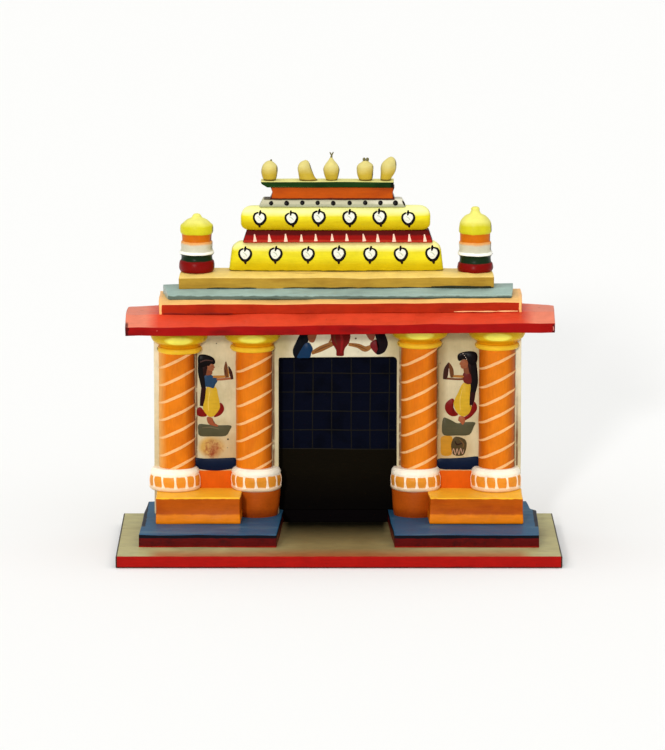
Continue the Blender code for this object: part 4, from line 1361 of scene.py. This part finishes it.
LEFT_ATTENDANT = (
    # Dark blue board and the stone to stand on
    ("patch", ((2.2, 53.0), (6.0, 53.3), (12.0, 53.2), (17.0, 53.0), (20.3, 53.0), (20.7, 55.0), (20.0, 57.4),
     (16.5, 58.3), (11.5, 58.8), (5.5, 58.3), (2.0, 57.2), (1.6, 54.6)), NAVY, 0.16),
    ("patch", ((4.0, 37.8), (8.0, 38.0), (13.0, 38.3), (18.4, 38.4), (17.8, 40.6), (15.9, 43.1), (10.0, 43.3),
     (4.4, 43.1), (3.6, 40.4)), STONE, 0.12),
    ("stroke", ((5.4, 39.4), (9.0, 39.2), (13.0, 40.0)), (0.5, 0.9, 0.5), shade(104, 92, 66), 0.12),
    # Foot and skirt
    ("patch", ((7.6, 34.6), (10.0, 35.0), (10.8, 37.0), (12.6, 38.3), (12.2, 39.0), (9.2, 38.2), (7.9, 37.0)),
     shade(150, 78, 48), 0.12),
    ("patch", ((3.4, 30.6), (4.8, 30.2), (6.4, 32.0), (7.6, 34.0), (5.4, 34.5), (3.3, 33.8), (3.0, 32.2)),
     HEM, 0.13),
    ("patch", ((13.4, 28.2), (14.9, 29.2), (15.3, 31.4), (13.8, 33.6), (11.0, 34.7), (11.0, 33.6), (12.6, 31.8)),
     HEM, 0.13),
    ("patch", ((7.6, 21.2), (11.6, 21.2), (12.6, 24.6), (13.3, 28.0), (13.5, 30.4), (12.2, 32.6), (10.4, 34.4),
     (8.4, 34.3), (6.4, 32.2), (5.8, 29.8), (6.8, 26.0)), SKIRT, 0.15),
    ("stroke", ((9.0, 23.0), (8.2, 27.5), (8.4, 32.0)), (0.4, 0.7, 0.4), shade(222, 186, 80), 0.16),
    # Blouse and arms
    ("patch", ((6.4, 15.2), (8.2, 15.0), (10.2, 16.0), (12.3, 17.4), (12.2, 18.8), (11.2, 20.2), (10.8, 21.7),
     (8.6, 21.2), (6.8, 20.6), (6.2, 18.0)), shade(36, 64, 92), 0.15),
    ("stroke", ((10.4, 16.6), (13.0, 16.5), (16.4, 16.3)), (1.3, 1.3, 1.0), GOLD, 0.15),
    ("stroke", ((12.0, 17.7), (14.6, 17.6), (18.4, 17.2)), (1.0, 1.1, 1.0), SKIN, 0.15),
    # Leaf fan
    ("stroke", ((16.2, 9.7), (16.2, 12.8), (16.5, 16.8)), (0.5, 1.9, 1.8), LEAF, 0.15),
    ("stroke", ((17.4, 11.8), (18.3, 14.4), (19.0, 17.6)), (0.5, 1.5, 1.3), LEAF_DARK, 0.15),
    ("stroke", ((17.0, 12.6), (17.3, 14.6), (17.5, 16.6)), (0.3, 0.6, 0.4), GOLD, 0.16),
    ("stroke", ((15.9, 13.2), (16.2, 15.2)), (0.4, 0.5), LEAF_DARK, 0.16),
    # Neck, face and hair
    ("patch", ((7.2, 12.6), (9.8, 13.4), (9.8, 15.5), (7.0, 15.7)), NECK, 0.145),
    ("patch", ((8.0, 10.8), (10.2, 10.4), (10.8, 11.4), (11.25, 12.3), (10.75, 12.7), (10.7, 13.3), (10.0, 14.0),
     (8.7, 13.8), (7.8, 12.8)), SKIN, 0.15, 4),
    ("dot", (10.05, 11.75), 0.17, HAIR, 0.17),
    ("patch", ((5.4, 10.6), (8.4, 10.8), (7.8, 12.8), (7.3, 15.6), (5.8, 15.8)), NAPE, 0.14),
    ("stroke", ((4.9, 9.2), (5.0, 14.0), (5.7, 18.0), (6.2, 22.0)), (2.4, 2.9, 2.8, 2.0), HAIR, 0.16),
    ("stroke", ((6.2, 21.4), (5.7, 26.0), (5.2, 29.6)), (2.2, 2.3, 1.7), BRAID, 0.16),
    ("patch", ((4.0, 6.9), (6.0, 6.4), (8.8, 7.0), (10.8, 8.2), (11.4, 9.9), (10.8, 10.9), (9.6, 10.7), (8.6, 11.6),
     (7.2, 11.6), (6.2, 12.2), (4.2, 12.0), (3.6, 9.5)), HAIR, 0.18),
    ("stroke", ((4.6, 9.9), (7.4, 9.0), (10.4, 9.4)), (0.9, 1.0, 0.7), shade(74, 46, 38), 0.18),
    # Specks
    ("dot", (17.0, 44.6), 0.4, shade(70, 66, 54)),
    ("dot", (12.0, 1.5), 0.25, shade(90, 84, 66)),
    ("dot", (16.8, 48.4), 0.2, shade(130, 120, 96)),
)

RIGHT_ATTENDANT = (
    # Dark blue board, and the gold panel and the basket above it
    ("patch", ((1.9, 53.4), (7.0, 53.2), (14.0, 52.8), (20.1, 52.4), (20.5, 55.0), (20.3, 57.6), (17.0, 58.3),
     (10.0, 58.3), (3.0, 58.0), (1.2, 56.0)), NAVY, 0.16),
    ("patch", ((3.4, 43.4), (8.0, 43.4), (8.2, 48.0), (7.6, 51.8), (3.4, 51.6), (3.0, 47.0)),
     shade(186, 130, 34), 0.08),
    ("patch", ((8.2, 45.0), (10.0, 43.4), (13.8, 44.6), (14.7, 47.0), (14.0, 50.4), (12.6, 52.0), (8.8, 51.6),
     (7.6, 48.0)), shade(72, 58, 32), 0.1),
    ("stroke", ((8.0, 51.4), (8.8, 48.8), (9.6, 51.6), (10.4, 48.8), (11.2, 51.6), (12.0, 48.6), (12.8, 51.2),
     (13.4, 49.2)), (0.3, 0.5, 0.5, 0.5, 0.5, 0.5, 0.5, 0.3), shade(186, 146, 118), 0.12),
    ("stroke", ((9.4, 45.4), (10.4, 47.0), (12.8, 46.2)), (0.5, 1.1, 0.5), shade(44, 24, 14), 0.12),
    ("stroke", ((11.4, 44.6), (13.2, 46.6), (13.0, 48.4)), (0.4, 0.9, 0.4), shade(104, 74, 40), 0.12),
    # Stone to stand on, hem, foot and skirt
    ("patch", ((4.1, 35.1), (6.2, 35.3), (8.6, 36.5), (10.6, 37.4), (13.9, 36.9), (18.4, 37.0), (17.8, 39.0),
     (15.8, 42.6), (10.0, 42.9), (4.6, 42.8), (3.5, 40.0)), STONE, 0.12),
    ("patch", ((8.2, 26.2), (9.0, 27.2), (8.4, 29.6), (9.6, 32.0), (10.8, 33.6), (8.4, 34.3), (6.2, 33.2),
     (4.9, 31.0), (5.1, 28.6), (6.6, 27.0)), HEM, 0.13),
    ("patch", ((17.8, 27.6), (19.1, 29.0), (19.2, 31.2), (17.6, 33.5), (15.6, 35.2), (13.0, 36.4), (10.9, 36.2),
     (11.4, 35.0), (13.6, 34.5), (15.4, 33.2), (16.6, 31.2), (16.9, 29.2)), HEM, 0.13),
    ("patch", ((11.2, 34.4), (13.2, 34.2), (14.0, 36.0), (13.0, 38.2), (11.9, 37.2), (11.0, 36.0)),
     shade(158, 86, 52), 0.13),
    ("patch", ((12.9, 19.4), (16.1, 19.6), (16.3, 23.6), (16.0, 28.0), (16.8, 30.2), (15.6, 33.0), (13.1, 34.3),
     (10.6, 33.0), (9.1, 30.2), (8.9, 27.5), (10.8, 23.5)), SKIRT, 0.15),
    ("stroke", ((12.6, 22.0), (11.6, 27.0), (11.8, 31.6)), (0.4, 0.7, 0.4), shade(220, 184, 84), 0.16),
    # Blouse and arms
    ("patch", ((13.1, 14.8), (15.1, 13.8), (16.8, 15.0), (17.2, 17.6), (16.2, 19.8), (13.9, 19.5), (12.8, 17.5)),
     shade(104, 34, 28), 0.15),
    ("stroke", ((13.3, 16.4), (10.8, 16.3), (7.8, 16.2)), (1.2, 1.2, 0.9), GOLD, 0.15),
    ("stroke", ((13.0, 17.5), (10.6, 17.6), (5.6, 17.3)), (0.9, 0.9, 0.8), SKIN_DARK, 0.15),
    # Leaf fan
    ("stroke", ((6.5, 10.1), (5.5, 13.2), (4.8, 17.6)), (0.5, 2.4, 1.9), LEAF_DARK, 0.15),
    ("stroke", ((6.6, 10.2), (7.6, 13.2), (8.1, 16.8)), (0.5, 2.0, 1.5), LEAF, 0.15),
    ("stroke", ((6.6, 12.8), (6.5, 16.2)), (0.3, 0.6), shade(222, 200, 176), 0.17),
    # Neck, face and hair
    ("patch", ((13.2, 12.0), (15.8, 11.8), (16.2, 14.9), (13.6, 14.9)), NECK, 0.145),
    ("patch", ((14.9, 9.0), (12.6, 8.8), (11.75, 9.8), (11.25, 10.8), (11.75, 11.2), (11.8, 11.9), (12.6, 12.8),
     (14.4, 12.6), (15.2, 11.2)), SKIN, 0.15, 4),
    ("dot", (12.5, 10.3), 0.17, HAIR, 0.17),
    ("patch", ((14.6, 9.6), (17.0, 9.4), (17.0, 15.0), (15.7, 14.8), (15.2, 12.4)), NAPE, 0.14),
    ("stroke", ((17.2, 8.0), (17.6, 14.0), (18.0, 19.0), (17.2, 24.0)), (3.0, 3.7, 3.4, 2.6), HAIR, 0.16),
    ("stroke", ((17.2, 23.4), (16.9, 26.4), (16.6, 29.2)), (2.9, 2.7, 2.0), BRAID, 0.16),
    ("patch", ((10.4, 8.0), (10.8, 6.3), (12.8, 5.4), (15.6, 5.0), (18.4, 5.4), (19.4, 7.2), (19.0, 10.0),
     (17.4, 11.4), (15.4, 10.6), (14.6, 9.0), (13.0, 8.6), (11.2, 9.4)), HAIR, 0.18),
    # Flowers in the hair
    ("dot", (12.9, 6.1), 0.26, FLOWER, 0.2),
    ("dot", (13.5, 6.9), 0.26, FLOWER, 0.2),
    ("dot", (14.1, 7.7), 0.26, FLOWER, 0.2),
    ("dot", (14.5, 8.5), 0.26, FLOWER, 0.2),
    # Speck
    ("dot", (2.6, 10.4), 0.22, shade(110, 100, 78)),
)

OVER_THE_DOOR = (
    # Arms that reach for the pot
    ("stroke", ((17.8, 10.0), (22.5, 7.8), (28.4, 5.2)), (1.8, 3.0, 2.4), shade(142, 94, 46), 0.13),
    ("stroke", ((19.4, 9.4), (23.0, 7.4), (27.0, 6.0)), (0.5, 0.9, 0.5), shade(104, 60, 30), 0.14),
    ("stroke", ((26.2, 5.4), (27.6, 3.0), (28.4, 1.0)), (0.8, 0.9, 0.7), shade(150, 104, 60), 0.13),
    ("stroke", ((36.2, 5.6), (41.0, 6.4), (44.6, 8.0), (47.4, 6.6)),
     (1.6, 2.4, 3.0, 1.8), shade(150, 100, 50), 0.13),
    ("stroke", ((38.0, 5.6), (42.0, 6.8), (45.4, 8.4)), (0.5, 0.9, 0.5), shade(112, 66, 34), 0.14),
    # Red pot
    ("patch", ((28.0, -1.0), (36.4, -1.0), (36.9, 3.2), (35.8, 5.8), (34.5, 7.4), (33.9, 9.4), (33.8, 11.2),
     (32.0, 11.5), (30.2, 11.2), (30.1, 9.2), (29.6, 7.4), (28.2, 5.6), (27.6, 3.2)), shade(110, 20, 16), 0.15),
    ("stroke", ((32.4, 0.5), (33.0, 4.0), (32.4, 10.0)), (1.8, 2.4, 1.4), shade(140, 24, 24), 0.16),
    ("stroke", ((29.4, 0.0), (29.2, 3.0), (30.6, 6.0)), (1.0, 1.4, 0.6), shade(96, 44, 20), 0.16),
    # Left figure: hair, blouse and face
    ("patch", ((12.6, 0.0), (16.2, 0.0), (16.2, 3.8), (14.8, 5.6), (13.0, 7.6), (12.2, 12.2), (9.2, 12.0),
     (8.4, 8.4), (10.0, 4.6)), shade(8, 10, 18), 0.14),
    ("patch", ((14.4, 5.2), (16.6, 4.8), (18.4, 7.8), (17.6, 9.8), (16.9, 12.2), (13.6, 12.4), (10.4, 12.3),
     (11.6, 9.5), (13.0, 7.2)), shade(18, 52, 86), 0.15),
    ("patch", ((16.0, -0.5), (20.4, -0.5), (19.4, 3.8), (18.0, 4.8), (16.2, 3.6)), SKIN, 0.14),
    # Right figure: blouse, hair and face
    ("patch", ((47.4, 4.6), (50.2, 3.2), (51.0, 7.0), (50.4, 10.4), (48.4, 8.8), (47.0, 6.6)),
     shade(112, 26, 30), 0.15),
    ("patch", ((49.6, -0.5), (53.6, -0.5), (55.4, 3.2), (55.8, 6.0), (54.2, 9.4), (51.2, 10.8), (49.9, 9.8),
     (51.2, 6.5), (50.0, 3.0)), shade(20, 8, 14), 0.15),
    ("patch", ((44.8, -0.5), (49.4, -0.5), (48.6, 3.6), (46.6, 3.2)), shade(152, 82, 60), 0.14),
    # Speck
    ("dot", (39.8, 2.7), 0.45, shade(96, 88, 70)),
)


def paint_figures(name, origin, scale, marks):
    """Paints figures on the wall from a table of patches, strokes and dots, in the order of painting."""
    brush = Brush(origin, scale, WALL_FRONT)
    paint = {"patch": brush.patch, "stroke": brush.stroke, "dot": brush.dot}
    for kind, *values in marks:
        paint[kind](*values)
    belongs(brush.done(name, STROKES), "wall_paint")


# Dark seams of painted shadow, smears and painted glints along the boards


def paint_seams():
    """Thin dark lines of painted shadow and pale lines where boards meet, and small painted glints and a dark mark on
    the eave.
    """
    hand = random.Random(8)

    def seam(brush, start, end, height, rise, width, colour, share=1.0):
        """A thin shaky line along a joint, broken where the brush lifted."""
        x = start
        while x < end:
            run = hand.uniform(9.0, 24.0)
            stop = min(x + run, end)
            if hand.random() < share:
                steps = max(2, int((stop - x) / 4.0) + 1)
                path, widths = [], []
                for step in range(steps + 1):
                    along = x + (stop - x) * step / steps
                    path.append((along, height + rise * along + hand.uniform(-0.07, 0.07)))
                    widths.append(width * hand.uniform(0.6, 1.25) * (0.5 if step in (0, steps) else 1.0))
                brush.stroke(path, widths, colour, 0.1, 3)
            x = stop - 0.3 if stop < end else end

    dark, moss, wine, peach = shade(44, 46, 30), shade(70, 78, 62), shade(126, 22, 10), shade(252, 190, 132)
    boards = (
        # Dark lines under the slab and the grey board, and the wine line under the orange board's left part: painted
        # shadow in the joints; the peach line is pale paint
        ("seam_under_slab", "roof_slab_paint", 10.75, (
            (-72.0, 70.0, 117.2, 0.0030, 0.6, dark, 0.95), (42.0, 69.0, 117.6, 0.0030, 0.8, dark))),
        ("seam_under_grey", "cornice_grey_paint", 3.5, ((-76.8, 78.0, 113.45, 0.0060, 0.45, moss, 0.9),)),
        ("seam_under_orange", "cornice_orange_paint", -1.0, (
            (-79.4, -48.0, 107.75, 0.0070, 0.8, wine), (52.0, 81.0, 107.95, 0.0070, 0.55, peach))),
    )
    for name, slot, front, seams in boards:
        lines = Brush(front=front)
        for values in seams:
            seam(lines, *values)
        belongs(lines.done(name, STROKES), slot)
    tick = Brush(front=23.3)
    tick.stroke(((28.9, 155.3), (29.5, 154.2), (29.9, 153.0)), (0.5, 0.8, 0.5), shade(24, 20, 14), 0.1)
    belongs(tick.done("course_end_tick", STROKES), "course_paint")
    # Painted glints on the eave's front, and a dark mark at its left end
    glints_and_mark = Brush(front=-11.55)
    glints_and_mark.dot((-82.0, 101.3), 0.3, shade(190, 70, 60))
    glints_and_mark.stroke(((96.5, 103.4), (96.7, 102.4), (96.6, 101.4)), (0.3, 0.5, 0.3), shade(206, 120, 108))
    glints_and_mark.stroke(((-94.8, 102.6), (-94.9, 101.4)), (0.3, 0.5), shade(70, 10, 10))
    belongs(glints_and_mark.done("eave_chips", STROKES), "eave_paint")


def make_studio():
    """Pale floor, soft lights and the camera."""
    scene = bpy.context.scene
    bpy.ops.mesh.primitive_plane_add(size=24.0, location=(0.0, 0.0, -0.0002))
    floor = bpy.context.object
    floor.name = "studio_floor"
    pale = bpy.data.materials.new("studio_floor_pale")
    pale.use_nodes = True
    shader = pale.node_tree.nodes["Principled BSDF"]
    shader.inputs["Base Color"].default_value = (0.9, 0.9, 0.89, 1.0)
    shader.inputs["Roughness"].default_value = 0.9
    shader.inputs["Specular IOR Level"].default_value = 0.1
    floor.data.materials.append(pale)
    world = bpy.data.worlds.new("studio")
    world.use_nodes = True
    sky = world.node_tree.nodes["Background"]
    sky.inputs["Color"].default_value = (1.0, 1.0, 0.985, 1.0)
    sky.inputs["Strength"].default_value = 0.5
    scene.world = world
    for name, up, left, spread, power in (("key", 15.0, 12.0, 5.0, 1.3), ("top", 80.0, 20.0, 100.0, 1.6)):
        light = bpy.data.lights.new(name, "SUN")
        light.angle = math.radians(spread)
        light.energy = power
        lamp = bpy.data.objects.new(name, light)
        lamp.rotation_euler = (math.radians(90.0 - up), 0.0, math.radians(-left))
        scene.collection.objects.link(lamp)
    camera = bpy.data.cameras.new("camera")
    camera.sensor_fit = "VERTICAL"
    camera.sensor_height = FRAME_HEIGHT
    camera.lens = CAMERA_LENS
    camera.clip_end = 30.0
    eye = bpy.data.objects.new("camera", camera)
    eye.location = CAMERA_PLACE
    eye.rotation_euler = (math.radians(90 - CAMERA_DOWN), 0.0, 0.0)
    scene.collection.objects.link(eye)
    scene.camera = eye
    scene.view_settings.view_transform = "Standard"
    scene.view_settings.look = "None"


def main():
    make_studio()
    make_base()
    make_benches()
    panel = make_porch()
    shafts, rings = make_columns()
    make_roof()
    crown = make_crown()
    make_turrets()
    make_pots()
    make_pot_tips()
    paint_crown(crown)
    paint_columns(shafts, rings)
    paint_lattice(panel)
    paint_figures("attendant_left_paint", (-67.98, 91.75), (1.016, -1.032), LEFT_ATTENDANT)
    paint_figures("attendant_right_paint", (43.53, 91.75), (1.016, -1.032), RIGHT_ATTENDANT)
    paint_figures("lintel_paint", (-28.68, 95.0), (0.914, -0.929), OVER_THE_DOOR)
    paint_seams()


main()
